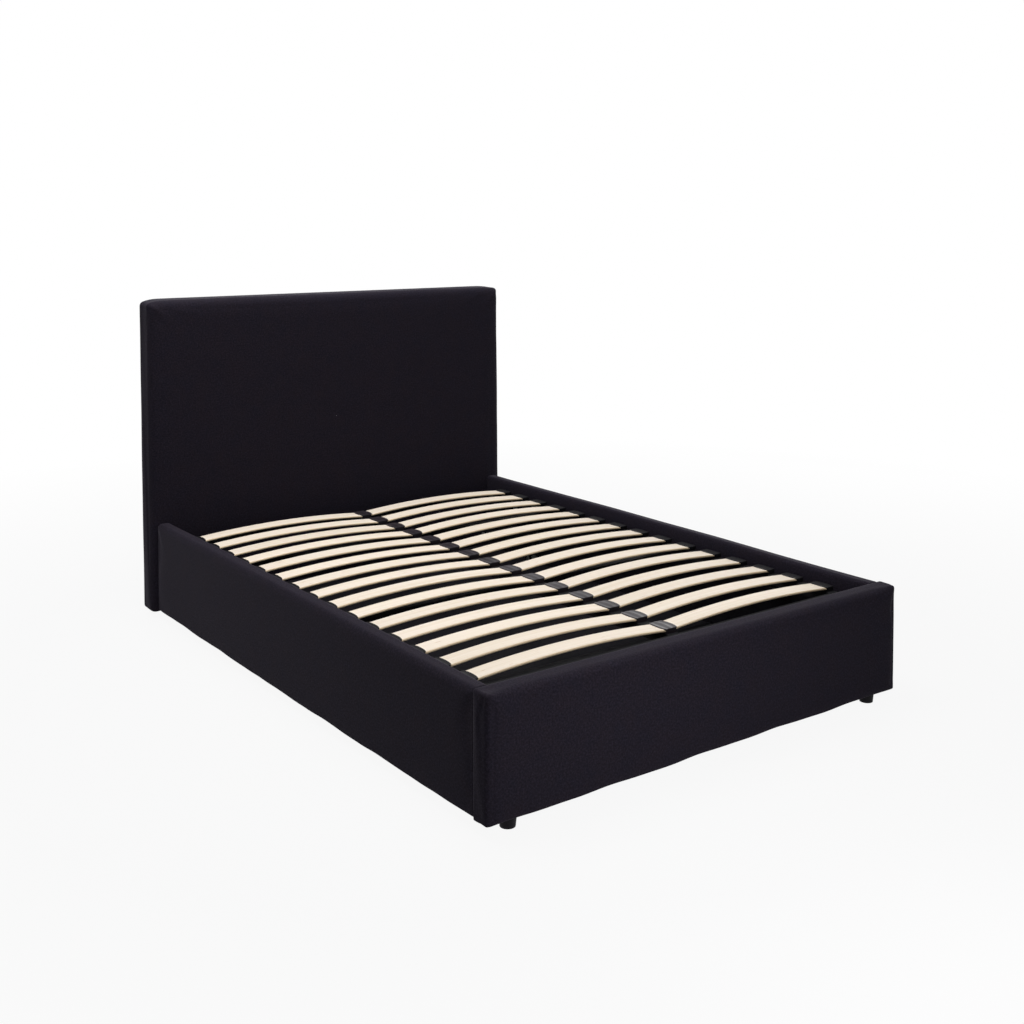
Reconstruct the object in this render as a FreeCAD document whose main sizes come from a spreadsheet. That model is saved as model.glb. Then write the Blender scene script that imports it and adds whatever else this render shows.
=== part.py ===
import FreeCAD, Part
import os
import Sketcher

# Upholstered ottoman bed. Millimetres, +Z up, +X to the right, +Y towards the headboard.
# The origin is on the floor, under the middle of the whole bed.

vector = FreeCAD.Vector
doc = FreeCAD.newDocument("ottoman_bed")
sheet = doc.addObject("Spreadsheet::Sheet", "sizes")

driving = [
    ("inner_width", 1362, "between the inner fabric faces of the two rails"),
    ("inner_length", 1936, "from the footboard's inner face to the headboard's front"),
    ("floor_gap", 30, "height of the feet"),
    ("foot_width", 44, "diameter of a corner foot at its top"),
    ("foot_taper", 3, "how much smaller its radius is on the floor"),
    ("foot_inset", 84, "from a footboard end to the middle of a foot"),
    ("back_foot_inset", 98, "from a headboard side to the middle of a foot"),
    ("headboard_width", 1486, "overall width of the headboard"),
    ("headboard_top", 1115, "top of the headboard above the floor"),
    ("headboard_thickness", 95, "overall thickness of the headboard"),
    ("headboard_front_pad", 27, "foam and fabric on the front"),
    ("headboard_side_pad", 16, "foam and fabric on the sides and top"),
    ("headboard_hem", 4, "fabric turned under the bottom edge"),
    ("headboard_corner_drop", 12, "how far the top falls at its corners"),
    ("headboard_corner_run", 62, "length over which it falls"),
    ("headboard_corner_round", 26, "radius of the top corners"),
    ("headboard_round", 22, "radius of the padded front edges"),
    ("headboard_panel_thickness", 6, "board behind the foam"),
    ("back_cloth_thickness", 2, "lining over the back"),
    ("timber_width", 70, "face width of the headboard timbers"),
    ("bottom_timber_width", 210, "face width of the lowest one, which takes the bracket bolts"),
    ("footboard_width", 1458, "overall width of the footboard"),
    ("footboard_top", 336, "top of the footboard above the floor"),
    ("footboard_front_pad", 16, "foam and fabric on the front"),
    ("footboard_board_thickness", 40, "board inside the footboard"),
    ("footboard_side_pad", 14, "foam and fabric on the ends and top"),
    ("footboard_round", 13, "radius of the padded edges"),
    ("rail_top", 334, "top of the rails above the floor"),
    ("rail_pad", 12, "foam and fabric on a rail's outer face and top"),
    ("rail_board_thickness", 30, "board inside a rail"),
    ("rail_turn_in", 60, "depth of the fabric turned over a rail's top"),
    ("rail_round", 15, "radius of a rail's outer top edge"),
    ("turn_in_thickness", 2, "fabric on the inner faces"),
    ("turn_in_round", 9, "radius of the inner top edges"),
    ("slat_rows", 15, "rows of slats"),
    ("slat_width", 63, "width of a slat"),
    ("slat_thickness", 8, "thickness of a slat"),
    ("slat_crown", 16, "how far a slat bows upwards"),
    ("slat_start", 4, "from the middle of the bed to a slat's inner end"),
    ("lid_foot_gap", 76, "from the footboard's inner face to the lid"),
    ("lid_head_gap", 90, "from the lid to the headboard's front"),
    ("lid_side_gap", 21, "from the lid to a rail's inner face"),
    ("lid_margin", 58, "from the last row of slats to the middle of the end tube"),
    ("lid_height", 290, "top of the lid's tubes above the floor"),
    ("tube_width", 30, "width and height of the lid's tubes"),
    ("tube_wall", 1.5, "wall of the tubes"),
    ("centre_tube_width", 40, "width of the centre tube"),
    ("near_tube_rows", 6, "rows of slats from the foot to the near cross tube"),
    ("far_tube_rows", 12, "rows of slats from the foot to the far cross tube"),
    ("cross_tube_lag", 13, "how far a cross tube lies towards the head from its row"),
    ("plug_depth", 18, "how far an end plug reaches into its tube"),
    ("plug_lip", 3, "thickness of an end plug's head"),
    ("cap_floor", 2.2, "plastic under a slat's end"),
    ("cap_height", 15.5, "height of a slat holder"),
    ("cap_side", 2, "wall beside a slat"),
    ("cap_end", 5, "closed end of an outer holder"),
    ("cap_depth", 27, "side of an outer holder, from its closed end"),
    ("centre_cap_half", 20, "half the side length of a centre holder"),
    ("cap_lip", 9, "how far a holder's curved lip reaches over its slat"),
    ("slat_clearance", 0.3, "room round a slat in its holder"),
    ("lift_height", 246, "height of the lid's hinge pins above the floor"),
    ("lift_setback", 230, "from the headboard's front to the hinge pins"),
    ("strut_arm", 206, "from a hinge pin to each end of a gas strut"),
    ("strut_spread", 60, "angle at the hinge pin between a strut's two ends"),
    ("plate_thickness", 4, "hinge plates and lift arms"),
    ("plate_edge", 20, "steel round a lift arm's pin and stud"),
    ("plate_rise", 20, "hinge plate above its pin"),
    ("plate_drop", 16, "hinge plate below its strut stud"),
    ("plate_head_reach", 36, "hinge plate from its pin towards the headboard"),
    ("plate_head_side", 78, "length of its upright edge there"),
    ("plate_foot_reach", 24, "hinge plate from its strut stud towards the foot"),
    ("plate_foot_side", 64, "length of its upright edge there"),
    ("plate_shoulder", 52, "from the hinge pin to the end of the plate's top edge"),
    ("plate_toe", 56, "from the strut stud to the end of the plate's bottom edge"),
    ("plate_round", 10, "radius of the hinge plate's corners"),
    ("plate_bolt_inset", 13, "from the hinge plate's edges to its bolts"),
    ("arm_round", 14, "radius of a lift arm's lower corners"),
    ("pin_diameter", 12, "hinge pin"),
    ("pin_head", 20, "across the flats of the hinge pin's head and collar"),
    ("pin_head_depth", 6, "thickness of that head"),
    ("running_fit", 0.05, "radial room of a hinge pin or strut eye"),
    ("side_play", 0.4, "room beside a turning piece"),
    ("stud_diameter", 8, "studs that carry the strut eyes"),
    ("stud_head", 14, "across the flats of a stud's head and collar"),
    ("stud_head_depth", 3, "thickness of a stud's head"),
    ("eye_diameter", 20, "strut eyes"),
    ("eye_width", 10, "width of a strut eye"),
    ("strut_inset", 12, "from a lift arm's inner face to the middle of its strut"),
    ("barrel_diameter", 18, "gas strut barrel"),
    ("barrel_base", 18, "from a strut's base eye to its barrel"),
    ("barrel_floor", 3, "closed end of the barrel"),
    ("barrel_length", 158, "length of the barrel"),
    ("rod_diameter", 8, "gas strut rod"),
    ("rod_fit", 0.3, "radial room of the rod in the barrel"),
    ("rod_reach", 12, "from the barrel's lower end to the shut rod's"),
    ("neck_diameter", 9, "neck between the barrel and its eye"),
    ("bracket_leg", 50, "each leg of a corner bracket"),
    ("bracket_height", 160, "height of a corner bracket"),
    ("bracket_base", 70, "height of its lower edge above the floor"),
    ("bracket_thickness", 3, "steel of the brackets"),
    ("bolt_neck", 8, "side of a bolt's square neck"),
    ("bolt_head", 13, "across the flats of a bolt's head"),
    ("bolt_head_depth", 4.5, "thickness of a bolt's head"),
    ("bolt_fit", 0.1, "room on each side of a neck in its hole"),
    ("bolt_margin", 25, "from a plate's edge to the middle of its bolts"),
    ("cleat_width", 20, "floor cleats on the rails"),
    ("cleat_height", 15, "height of a floor cleat"),
    ("floor_panel_thickness", 4, "three panels of the storage floor"),
    ("floor_panel_room", 3, "room round the floor panels"),
    ("beam_width", 60, "centre floor beam"),
    ("beam_depth", 25, "height of the centre floor beam"),
    ("beam_foot_width", 40, "side of a beam foot"),
    ("beam_foot_count", 3, "feet under the beam"),
    ("beam_foot_inset", 200, "from the inner faces to the end beam feet"),
    ("rest_setback", 330, "from the footboard's inner face to the lid rests"),
    ("rest_width", 60, "length of a lid rest along its rail"),
    ("rest_drop", 50, "height of a lid rest's leg on the rail"),
    ("buffer_height", 8, "rubber buffer on a lid rest"),
    ("buffer_width", 22, "side of a rubber buffer"),
]
for row, (alias, number, note) in enumerate(driving, start=1):
    sheet.set(f"A{row}", note)
    sheet.set(f"B{row}", str(number))
    sheet.setAlias(f"B{row}", alias)
doc.recompute()


def value(expression):
    return float(sheet.evalExpression(expression))


# Planes and lines that several pieces share, each worked out from the sheet.
overall_length = "(sizes.inner_length + sizes.footboard_front_pad + sizes.footboard_board_thickness" \
    " + sizes.turn_in_thickness + sizes.headboard_thickness)"
back_y = f"({overall_length} / 2)"
front_y = f"(0 - {overall_length} / 2)"
headboard_y = f"({back_y} - sizes.headboard_thickness)"
footboard_y = f"({headboard_y} - sizes.inner_length)"
rail_in_x = "(sizes.inner_width / 2)"
board_in_x = f"({rail_in_x} + sizes.turn_in_thickness)"
board_out_x = f"({board_in_x} + sizes.rail_board_thickness)"
rail_out_x = f"({board_out_x} + sizes.rail_pad)"
half_headboard = "(sizes.headboard_width / 2)"
half_footboard = "(sizes.footboard_width / 2)"
floor_top_z = "(sizes.floor_gap + sizes.cleat_height)"

lid_half = f"({rail_in_x} - sizes.lid_side_gap)"
lid_foot_y = f"({footboard_y} + sizes.lid_foot_gap)"
lid_head_y = f"({headboard_y} - sizes.lid_head_gap)"
foot_tube_y = f"({lid_foot_y} + sizes.tube_width / 2)"
head_tube_y = f"({lid_head_y} - sizes.tube_width / 2)"
first_row_y = f"({foot_tube_y} + sizes.lid_margin)"
last_row_y = f"({head_tube_y} - sizes.lid_margin)"
slat_pitch = f"(({last_row_y} - {first_row_y}) / (sizes.slat_rows - 1))"
tube_low_z = "(sizes.lid_height - sizes.tube_width)"
tube_in_x = f"({lid_half} - sizes.tube_width)"

slat_end_x = f"({lid_half} - sizes.cap_end)"
slat_length = f"({slat_end_x} - sizes.slat_start)"
slat_mid_x = f"(sizes.slat_start + {slat_length} / 2)"
slat_low_z = "(sizes.lid_height + sizes.cap_floor + sizes.slat_clearance)"
bow_radius = f"(({slat_length} ^ 2 / 4 + sizes.slat_crown ^ 2) / (2 * sizes.slat_crown))"
bow_z = f"({slat_low_z} + sizes.slat_crown - {bow_radius})"

pivot_y = f"({headboard_y} - sizes.lift_setback)"
pivot_z = "sizes.lift_height"
stud_y = f"({pivot_y} - sizes.strut_arm)"
base_stud_y = f"({pivot_y} - sizes.strut_arm * cos(sizes.strut_spread * 1 deg))"
base_stud_z = f"({pivot_z} - sizes.strut_arm * sin(sizes.strut_spread * 1 deg))"
arm_out_x = f"({lid_half} + sizes.plate_thickness)"
plate_in_x = f"({board_in_x} - sizes.plate_thickness)"
strut_x = f"({lid_half} - sizes.strut_inset)"
strut_rest = "(2 * sizes.strut_arm * sin(sizes.strut_spread / 2 * 1 deg))"

nodes = []


def keep(piece, label):
    piece.Label = label
    nodes.append(piece)


def new_body(name):
    body = doc.addObject("PartDesign::Body", f"{name}_body")
    body.AllowCompound = True
    return body


def origin_plane(body, role):
    return next(feature for feature in body.Origin.OriginFeatures if feature.Role == role)


def sketch_on(body, role, offset="0"):
    sketch = body.newObject("Sketcher::SketchObject", f"{body.Name}_sketch")
    sketch.AttachmentSupport = (origin_plane(body, role), [""])
    sketch.MapMode = "FlatFace"
    sketch.setExpression("AttachmentOffset.Base.z", offset)
    return sketch


def bind(sketch, kind, places, expression):
    index = sketch.addConstraint(Sketcher.Constraint(kind, *places, value(expression)))
    sketch.setExpression(f"Constraints[{index}]", expression)


def place_point(sketch, geometry, point, across, up):
    bind(sketch, "DistanceX", (-1, 1, geometry, point), across)
    bind(sketch, "DistanceY", (-1, 1, geometry, point), up)


# A closed outline, anticlockwise. The sides in arcs bulge outwards, first by a tenth of their half chord.
# At each place in smooth, an arc runs on from its straight neighbour, which settles its real bulge.
def outline(sketch, corners, arcs=(), smooth=()):
    first_bulge = 0.1
    first = sketch.GeometryCount
    points = [vector(value(across), value(up), 0) for across, up in corners]
    count = len(points)
    for side in range(count):
        start = points[side]
        end = points[(side + 1) % count]
        if side in arcs:
            half = (end - start) * 0.5
            bulge = vector(half.y, -half.x, 0) * first_bulge
            sketch.addGeometry(Part.Arc(start, start + half + bulge, end), False)
        else:
            sketch.addGeometry(Part.LineSegment(start, end), False)
    for side in range(count):
        joint = (first + side, 2, first + (side + 1) % count, 1)
        sketch.addConstraint(Sketcher.Constraint("Tangent" if side in smooth else "Coincident", *joint))
        place_point(sketch, first + side, 1, *corners[side])


def rectangle(sketch, across, up):
    outline(sketch, [(across[0], up[0]), (across[1], up[0]), (across[1], up[1]), (across[0], up[1])])


def square(sketch, across, up, side):
    left, right = (f"({across} {sign} {side} / 2)" for sign in "-+")
    low, high = (f"({up} {sign} {side} / 2)" for sign in "-+")
    rectangle(sketch, (left, right), (low, high))


def hexagon(sketch, across, up, flats):
    point = f"({flats} / sqrt(3))"
    high = f"({up} + {flats} / 2)"
    low = f"({up} - {flats} / 2)"
    right, left = (f"({across} {sign} {point})" for sign in "+-")
    inner_right, inner_left = (f"({across} {sign} {point} / 2)" for sign in "+-")
    outline(sketch, [(right, up), (inner_right, high), (inner_left, high), (left, up), (inner_left, low),
                     (inner_right, low)])


def circle(sketch, across, up, diameter):
    middle = vector(value(across), value(up), 0)
    ring = sketch.addGeometry(Part.Circle(middle, vector(0, 0, 1), value(diameter) / 2), False)
    place_point(sketch, ring, 3, across, up)
    bind(sketch, "Diameter", (ring,), diameter)


def pad(body, sketch, length, side="One side", backwards=False):
    feature = body.newObject("PartDesign::Pad", f"{sketch.Name}_pad")
    feature.Profile = sketch
    feature.SideType = side
    feature.Reversed = backwards
    feature.setExpression("Length", length)
    body.Tip = feature
    doc.recompute()


def pocket(body, sketch, length, side="One side", backwards=False):
    before = body.Tip.Shape.Volume
    feature = body.newObject("PartDesign::Pocket", f"{sketch.Name}_pocket")
    feature.Profile = sketch
    feature.SideType = side
    feature.Reversed = backwards
    feature.setExpression("Length", length)
    body.Tip = feature
    doc.recompute()
    if feature.Shape.Volume > before - 1e-3:
        raise RuntimeError(f"{feature.Name} cuts nothing")


def round_edges(body, radius, wanted):
    base = body.Tip
    names = [f"Edge{number}" for number, edge in enumerate(base.Shape.Edges, start=1) if wanted(edge)]
    if not names:
        raise RuntimeError(f"no edge to round on {body.Name}")
    feature = body.newObject("PartDesign::Fillet", f"{body.Name}_round")
    feature.Base = (base, names)
    feature.setExpression("Radius", radius)
    body.Tip = feature
    doc.recompute()


def turn(body, sketch, axis):
    feature = body.newObject("PartDesign::Revolution", f"{sketch.Name}_turn")
    feature.Profile = sketch
    feature.ReferenceAxis = (sketch, [axis])
    feature.Angle = 360
    body.Tip = feature
    doc.recompute()


def repeat(body, role, count, spacing):
    feature = body.newObject("PartDesign::LinearPattern", f"{body.Name}_row")
    feature.TransformMode = "Whole shape"
    axis = next(item for item in body.Origin.OriginFeatures if item.Role == role)
    feature.Direction = (axis, [""])
    feature.Mode = "Spacing"
    feature.setExpression("Offset", spacing)
    feature.setExpression("Occurrences", count)
    body.Tip = feature
    doc.recompute()


def mirror(body, role):
    feature = body.newObject("PartDesign::Mirrored", f"{body.Name}_mirror")
    feature.TransformMode = "Whole shape"
    feature.MirrorPlane = (origin_plane(body, role), [""])
    body.Tip = feature
    doc.recompute()


def put(piece, x="0", y="0", z="0"):
    for axis, expression in zip("xyz", (x, y, z)):
        piece.setExpression(f"Placement.Base.{axis}", expression)


def left_of(piece, name):
    twin = doc.addObject("Part::Mirroring", f"{name}_twin")
    twin.Source = piece
    twin.Normal = vector(1, 0, 0)
    doc.recompute()
    return twin


def box(name, x, y, z):
    piece = doc.addObject("Part::Box", f"{name}_box")
    for side, (low, high) in zip(("Length", "Width", "Height"), (x, y, z)):
        piece.setExpression(side, f"{high} - {low}")
    put(piece, x[0], y[0], z[0])
    return piece


def together(name, pieces):
    group = doc.addObject("Part::Compound", f"{name}_group")
    group.Links = pieces
    doc.recompute()
    return group


def along(edge, axis):
    if edge.Curve.TypeId != "Part::GeomLine":
        return False
    return abs(getattr(edge.Curve.Direction, axis)) > 0.999


def spot(edge):
    return edge.BoundBox.Center


def near(number, expression):
    return abs(number - value(expression)) < 0.05


# Bolts have a hexagon head and a square neck in their plate. Their threads inside the boards are left out.
bolt_hole = "(sizes.bolt_neck + 2 * sizes.bolt_fit)"
bracket_bolt_z = [
    "(sizes.bracket_base + sizes.bolt_margin)",
    "(sizes.bracket_base + sizes.bracket_height - sizes.bolt_margin)",
]
bracket_x = f"({board_in_x} - sizes.bracket_thickness)"
bracket_bolt_x = f"({board_in_x} - sizes.bolt_margin)"
head_bolt_y = f"({headboard_y} - sizes.bolt_margin)"
foot_bolt_y = f"({footboard_y} + sizes.bolt_margin)"
arm_bolt_y = [f"({pivot_y} - sizes.strut_arm / 4)", f"({pivot_y} - 3 * sizes.strut_arm / 4)"]
arm_bolt_z = "(sizes.lid_height - sizes.tube_width / 2)"
plate_top_z = f"({pivot_z} + sizes.plate_rise)"
plate_low_z = f"({base_stud_z} - sizes.plate_drop)"
plate_head_y = f"({pivot_y} + sizes.plate_head_reach)"
plate_foot_y = f"({base_stud_y} - sizes.plate_foot_reach)"
plate_shoulder_y = f"({pivot_y} - sizes.plate_shoulder)"
plate_toe_y = f"({base_stud_y} + sizes.plate_toe)"
plate_head_z = f"({plate_top_z} - sizes.plate_head_side)"
plate_foot_z = f"({plate_low_z} + sizes.plate_foot_side)"
inset = "sizes.plate_bolt_inset"
plate_bolts = [
    (f"({plate_head_y} - {inset})", f"({plate_head_z} + {inset})"),
    (f"({plate_shoulder_y} + {inset})", f"({plate_top_z} - {inset})"),
    (f"({plate_foot_y} + {inset})", f"({plate_foot_z} - {inset})"),
    (f"({plate_toe_y} - {inset})", f"({plate_low_z} + {inset})"),
]
rest_mid_y = f"({footboard_y} + sizes.rest_setback)"
rest_top_z = f"({tube_low_z} - sizes.buffer_height)"
rest_bolts = [
    (f"({rest_mid_y} - sizes.rest_width / 4)", f"({rest_top_z} - sizes.rest_drop / 2)"),
    (f"({rest_mid_y} + sizes.rest_width / 4)", f"({rest_top_z} - sizes.rest_drop / 2)"),
]
rail_bolts = [(y, z) for y in (head_bolt_y, foot_bolt_y) for z in bracket_bolt_z] + rest_bolts


def bolts_along_x(body, places, plate_face, depth):
    heads = sketch_on(body, "YZ_Plane", plate_face)
    necks = sketch_on(body, "YZ_Plane", plate_face)
    for y, z in places:
        hexagon(heads, y, z, "sizes.bolt_head")
        square(necks, y, z, "sizes.bolt_neck")
    pad(body, heads, "sizes.bolt_head_depth", backwards=True)
    pad(body, necks, depth)


def drill_along_x(body, places, start, depth, shape=square, size=bolt_hole):
    sketch = sketch_on(body, "YZ_Plane", start)
    for y, z in places:
        shape(sketch, y, z, size)
    pocket(body, sketch, depth, backwards=True)


# Bolts through a corner bracket's other leg, along the bed.
def bolts_along_y(body, plate_face, towards_head):
    heads = sketch_on(body, "XZ_Plane", f"(0 - {plate_face})")
    necks = sketch_on(body, "XZ_Plane", f"(0 - {plate_face})")
    for z in bracket_bolt_z:
        hexagon(heads, bracket_bolt_x, z, "sizes.bolt_head")
        square(necks, bracket_bolt_x, z, "sizes.bolt_neck")
    pad(body, heads, "sizes.bolt_head_depth", backwards=not towards_head)
    pad(body, necks, "sizes.bracket_thickness", backwards=towards_head)


# Headboard: timber frame, panel, padded cover and back cloth.
core_x = f"({half_headboard} - sizes.headboard_side_pad)"
core_low_z = "(sizes.floor_gap + sizes.headboard_hem)"
core_top_z = "(sizes.headboard_top - sizes.headboard_corner_drop - sizes.headboard_side_pad)"
panel_y = f"({headboard_y} + sizes.headboard_front_pad)"
timber_y = f"({panel_y} + sizes.headboard_panel_thickness)"
cloth_y = f"({back_y} - sizes.back_cloth_thickness)"


def headboard_frame():
    body = new_body("headboard_frame")
    sketch = sketch_on(body, "XZ_Plane", f"(0 - {timber_y})")
    rectangle(sketch, (f"(0 - {core_x})", core_x), (core_low_z, core_top_z))
    half_timber = "(sizes.timber_width / 2)"
    inner = f"({core_x} - sizes.timber_width)"
    mid_z = f"(({core_low_z} + {core_top_z}) / 2)"
    low = (f"({core_low_z} + sizes.bottom_timber_width)", f"({mid_z} - {half_timber})")
    high = (f"({mid_z} + {half_timber})", f"({core_top_z} - sizes.timber_width)")
    for up in (low, high):
        rectangle(sketch, (f"(0 - {inner})", f"(0 - {half_timber})"), up)
        rectangle(sketch, (half_timber, inner), up)
    pad(body, sketch, f"{cloth_y} - {timber_y}", backwards=True)
    keep(body, "headboard_frame")


def headboard_panel():
    across = (f"(0 - {core_x})", core_x)
    panel = box("headboard_panel", across, (panel_y, timber_y), (core_low_z, core_top_z))
    keep(panel, "headboard_panel")


# The cover is a padded tray: soft front edges, and a top that falls away at its corners.
def headboard_upholstery():
    body = new_body("headboard_upholstery")
    sketch = sketch_on(body, "XZ_Plane", f"(0 - {headboard_y})")
    shoulder_z = "(sizes.headboard_top - sizes.headboard_corner_drop)"
    shoulder_x = f"({half_headboard} - sizes.headboard_corner_run)"
    outline(
        sketch,
        [
            (f"(0 - {half_headboard})", "sizes.floor_gap"),
            (half_headboard, "sizes.floor_gap"),
            (half_headboard, shoulder_z),
            (shoulder_x, "sizes.headboard_top"),
            (f"(0 - {shoulder_x})", "sizes.headboard_top"),
            (f"(0 - {half_headboard})", shoulder_z),
        ],
        arcs=(2, 4),
        smooth=(2, 3),
    )
    pad(body, sketch, "sizes.headboard_thickness", backwards=True)
    round_edges(body, "sizes.headboard_corner_round", lambda edge: along(edge, "y")
                and near(spot(edge).z, shoulder_z))
    round_edges(body, "sizes.headboard_round", lambda edge: near(spot(edge).y, headboard_y)
                and not near(spot(edge).z, "sizes.floor_gap"))
    hollow = sketch_on(body, "XZ_Plane", f"(0 - {back_y})")
    rectangle(hollow, (f"(0 - {core_x})", core_x), (core_low_z, core_top_z))
    pocket(body, hollow, f"{back_y} - {panel_y}", backwards=True)
    keep(body, "headboard_upholstery")


def headboard_back_cloth():
    across = (f"(0 - {core_x})", core_x)
    cloth = box("headboard_back_cloth", across, (cloth_y, back_y), (core_low_z, core_top_z))
    keep(cloth, "headboard_back_cloth")


# Footboard: a board open at the bottom, in a padded cover that wraps it on every other side.
footboard_core_x = f"({half_footboard} - sizes.footboard_side_pad)"
footboard_core_y = f"({front_y} + sizes.footboard_front_pad)"
footboard_core_back = f"({footboard_y} - sizes.turn_in_thickness)"
footboard_core_z = "(sizes.footboard_top - sizes.footboard_side_pad)"


def footboard_board():
    across = (f"(0 - {footboard_core_x})", footboard_core_x)
    along_y = (footboard_core_y, footboard_core_back)
    keep(box("footboard_board", across, along_y, ("sizes.floor_gap", footboard_core_z)), "footboard_board")


def footboard_upholstery():
    body = new_body("footboard_upholstery")
    sketch = sketch_on(body, "XZ_Plane", f"(0 - {footboard_y})")
    rectangle(sketch, (f"(0 - {half_footboard})", half_footboard), ("sizes.floor_gap", "sizes.footboard_top"))
    pad(body, sketch, f"{footboard_y} - {front_y}")
    round_edges(body, "sizes.footboard_round", lambda edge: near(spot(edge).y, front_y)
                and not near(spot(edge).z, "sizes.floor_gap"))
    round_edges(body, "sizes.turn_in_round", lambda edge: along(edge, "x")
                and near(spot(edge).y, footboard_y) and near(spot(edge).z, "sizes.footboard_top"))
    hollow = sketch_on(body, "XY_Plane", "sizes.floor_gap")
    across = (f"(0 - {footboard_core_x})", footboard_core_x)
    rectangle(hollow, across, (footboard_core_y, footboard_core_back))
    pocket(body, hollow, f"{footboard_core_z} - sizes.floor_gap", backwards=True)
    keep(body, "footboard_upholstery")


# Rails: a board in a padded cover, which turns over the top and a little way down the inside.
rail_board_top = "(sizes.rail_top - sizes.rail_pad)"


def rail_boards():
    up = ("sizes.floor_gap", rail_board_top)
    board = box("right_rail_board", (board_in_x, board_out_x), (footboard_y, headboard_y), up)
    keep(board, "right_rail_board")
    keep(left_of(board, "left_rail_board"), "left_rail_board")


def rail_upholstery():
    body = new_body("right_rail_upholstery")
    sketch = sketch_on(body, "XZ_Plane", f"(0 - {footboard_y})")
    turn_in_z = "(sizes.rail_top - sizes.rail_turn_in)"
    outline(
        sketch,
        [
            (board_out_x, "sizes.floor_gap"),
            (rail_out_x, "sizes.floor_gap"),
            (rail_out_x, "sizes.rail_top"),
            (rail_in_x, "sizes.rail_top"),
            (rail_in_x, turn_in_z),
            (board_in_x, turn_in_z),
            (board_in_x, rail_board_top),
            (board_out_x, rail_board_top),
        ],
    )
    pad(body, sketch, "sizes.inner_length", backwards=True)
    round_edges(body, "sizes.rail_round", lambda edge: along(edge, "y")
                and near(spot(edge).x, rail_out_x) and near(spot(edge).z, "sizes.rail_top"))
    round_edges(body, "sizes.turn_in_round", lambda edge: along(edge, "y")
                and near(spot(edge).x, rail_in_x) and near(spot(edge).z, "sizes.rail_top"))
    keep(body, "right_rail_upholstery")
    keep(left_of(body, "left_rail_upholstery"), "left_rail_upholstery")


# Feet: turned plastic, wider at the top.
def turned_foot(name):
    body = new_body(name)
    sketch = sketch_on(body, "XZ_Plane")
    top = "(sizes.foot_width / 2)"
    low = f"({top} - sizes.foot_taper)"
    outline(sketch, [("0", "0"), (low, "0"), (top, "sizes.floor_gap"), ("0", "sizes.floor_gap")])
    turn(body, sketch, "V_Axis")
    return body


def corner_feet():
    pieces = []
    front = (f"({half_footboard} - sizes.foot_inset)", f"(({footboard_core_y} + {footboard_core_back}) / 2)")
    back = (f"({half_headboard} - sizes.back_foot_inset)", f"(({timber_y} + {cloth_y}) / 2)")
    for name, (x, y) in (("front_foot", front), ("back_foot", back)):
        foot = turned_foot(name)
        put(foot, x, y)
        pieces.extend([foot, left_of(foot, f"left_{name}")])
    keep(together("corner_feet", pieces), "corner_feet")


# Storage floor: cleats on the rails, a beam on its own feet and three loose panels.
def rail_cleats():
    across = (f"({board_in_x} - sizes.cleat_width)", board_in_x)
    right = box("right_cleat", across, (footboard_y, headboard_y), ("sizes.floor_gap", floor_top_z))
    keep(together("rail_cleats", [right, left_of(right, "left_cleat")]), "rail_cleats")


beam_low_z = f"({floor_top_z} - sizes.beam_depth)"


def centre_beam():
    half = "(sizes.beam_width / 2)"
    beam = box("centre_beam", (f"(0 - {half})", half), (footboard_y, headboard_y), (beam_low_z, floor_top_z))
    keep(beam, "centre_beam")


def beam_feet():
    body = new_body("beam_feet")
    first_y = f"({footboard_y} + sizes.beam_foot_inset)"
    sketch = sketch_on(body, "XY_Plane")
    square(sketch, "0", first_y, "sizes.beam_foot_width")
    pad(body, sketch, beam_low_z)
    spacing = "(sizes.inner_length - 2 * sizes.beam_foot_inset) / (sizes.beam_foot_count - 1)"
    repeat(body, "Y_Axis", "sizes.beam_foot_count", spacing)
    keep(body, "beam_feet")


def floor_panels():
    reach = f"({board_in_x} - sizes.floor_panel_room)"
    top = f"({floor_top_z} + sizes.floor_panel_thickness)"
    labels = ("floor_panel_foot", "floor_panel_middle", "floor_panel_head")
    share = f"(sizes.inner_length / {len(labels)})"
    for number, label in enumerate(labels):
        low = f"({footboard_y} + {number} * {share} + sizes.floor_panel_room)"
        high = f"({footboard_y} + {number + 1} * {share} - sizes.floor_panel_room)"
        keep(box(label, (f"(0 - {reach})", reach), (low, high), (floor_top_z, top)), label)


# Corner brackets: steel angles, one leg on the rail and one on the headboard or footboard.
def corner_bracket(name, wall_y, inwards):
    body = new_body(name)
    sketch = sketch_on(body, "XY_Plane", "sizes.bracket_base")
    far_y = f"({wall_y} {inwards} sizes.bracket_leg)"
    thin_y = f"({wall_y} {inwards} sizes.bracket_thickness)"
    far_x = f"({board_in_x} - sizes.bracket_leg)"
    corners = [(far_x, wall_y), (board_in_x, wall_y), (board_in_x, far_y), (bracket_x, far_y),
               (bracket_x, thin_y), (far_x, thin_y)]
    outline(sketch, corners if inwards == "+" else corners[::-1])
    pad(body, sketch, "sizes.bracket_height")
    bolt_y = head_bolt_y if inwards == "-" else foot_bolt_y
    drill_along_x(body, [(bolt_y, z) for z in bracket_bolt_z], bracket_x, "sizes.bracket_thickness")
    holes = sketch_on(body, "XZ_Plane", f"(0 - {thin_y})")
    for z in bracket_bolt_z:
        square(holes, bracket_bolt_x, z, bolt_hole)
    pocket(body, holes, "sizes.bracket_thickness", backwards=inwards == "+")
    return body


def corner_brackets():
    head = corner_bracket("head_bracket", headboard_y, "-")
    foot = corner_bracket("foot_bracket", footboard_y, "+")
    pair = together("right_corner_brackets", [head, foot])
    keep(together("corner_brackets", [pair, left_of(pair, "left_corner_brackets")]), "corner_brackets")


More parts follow.
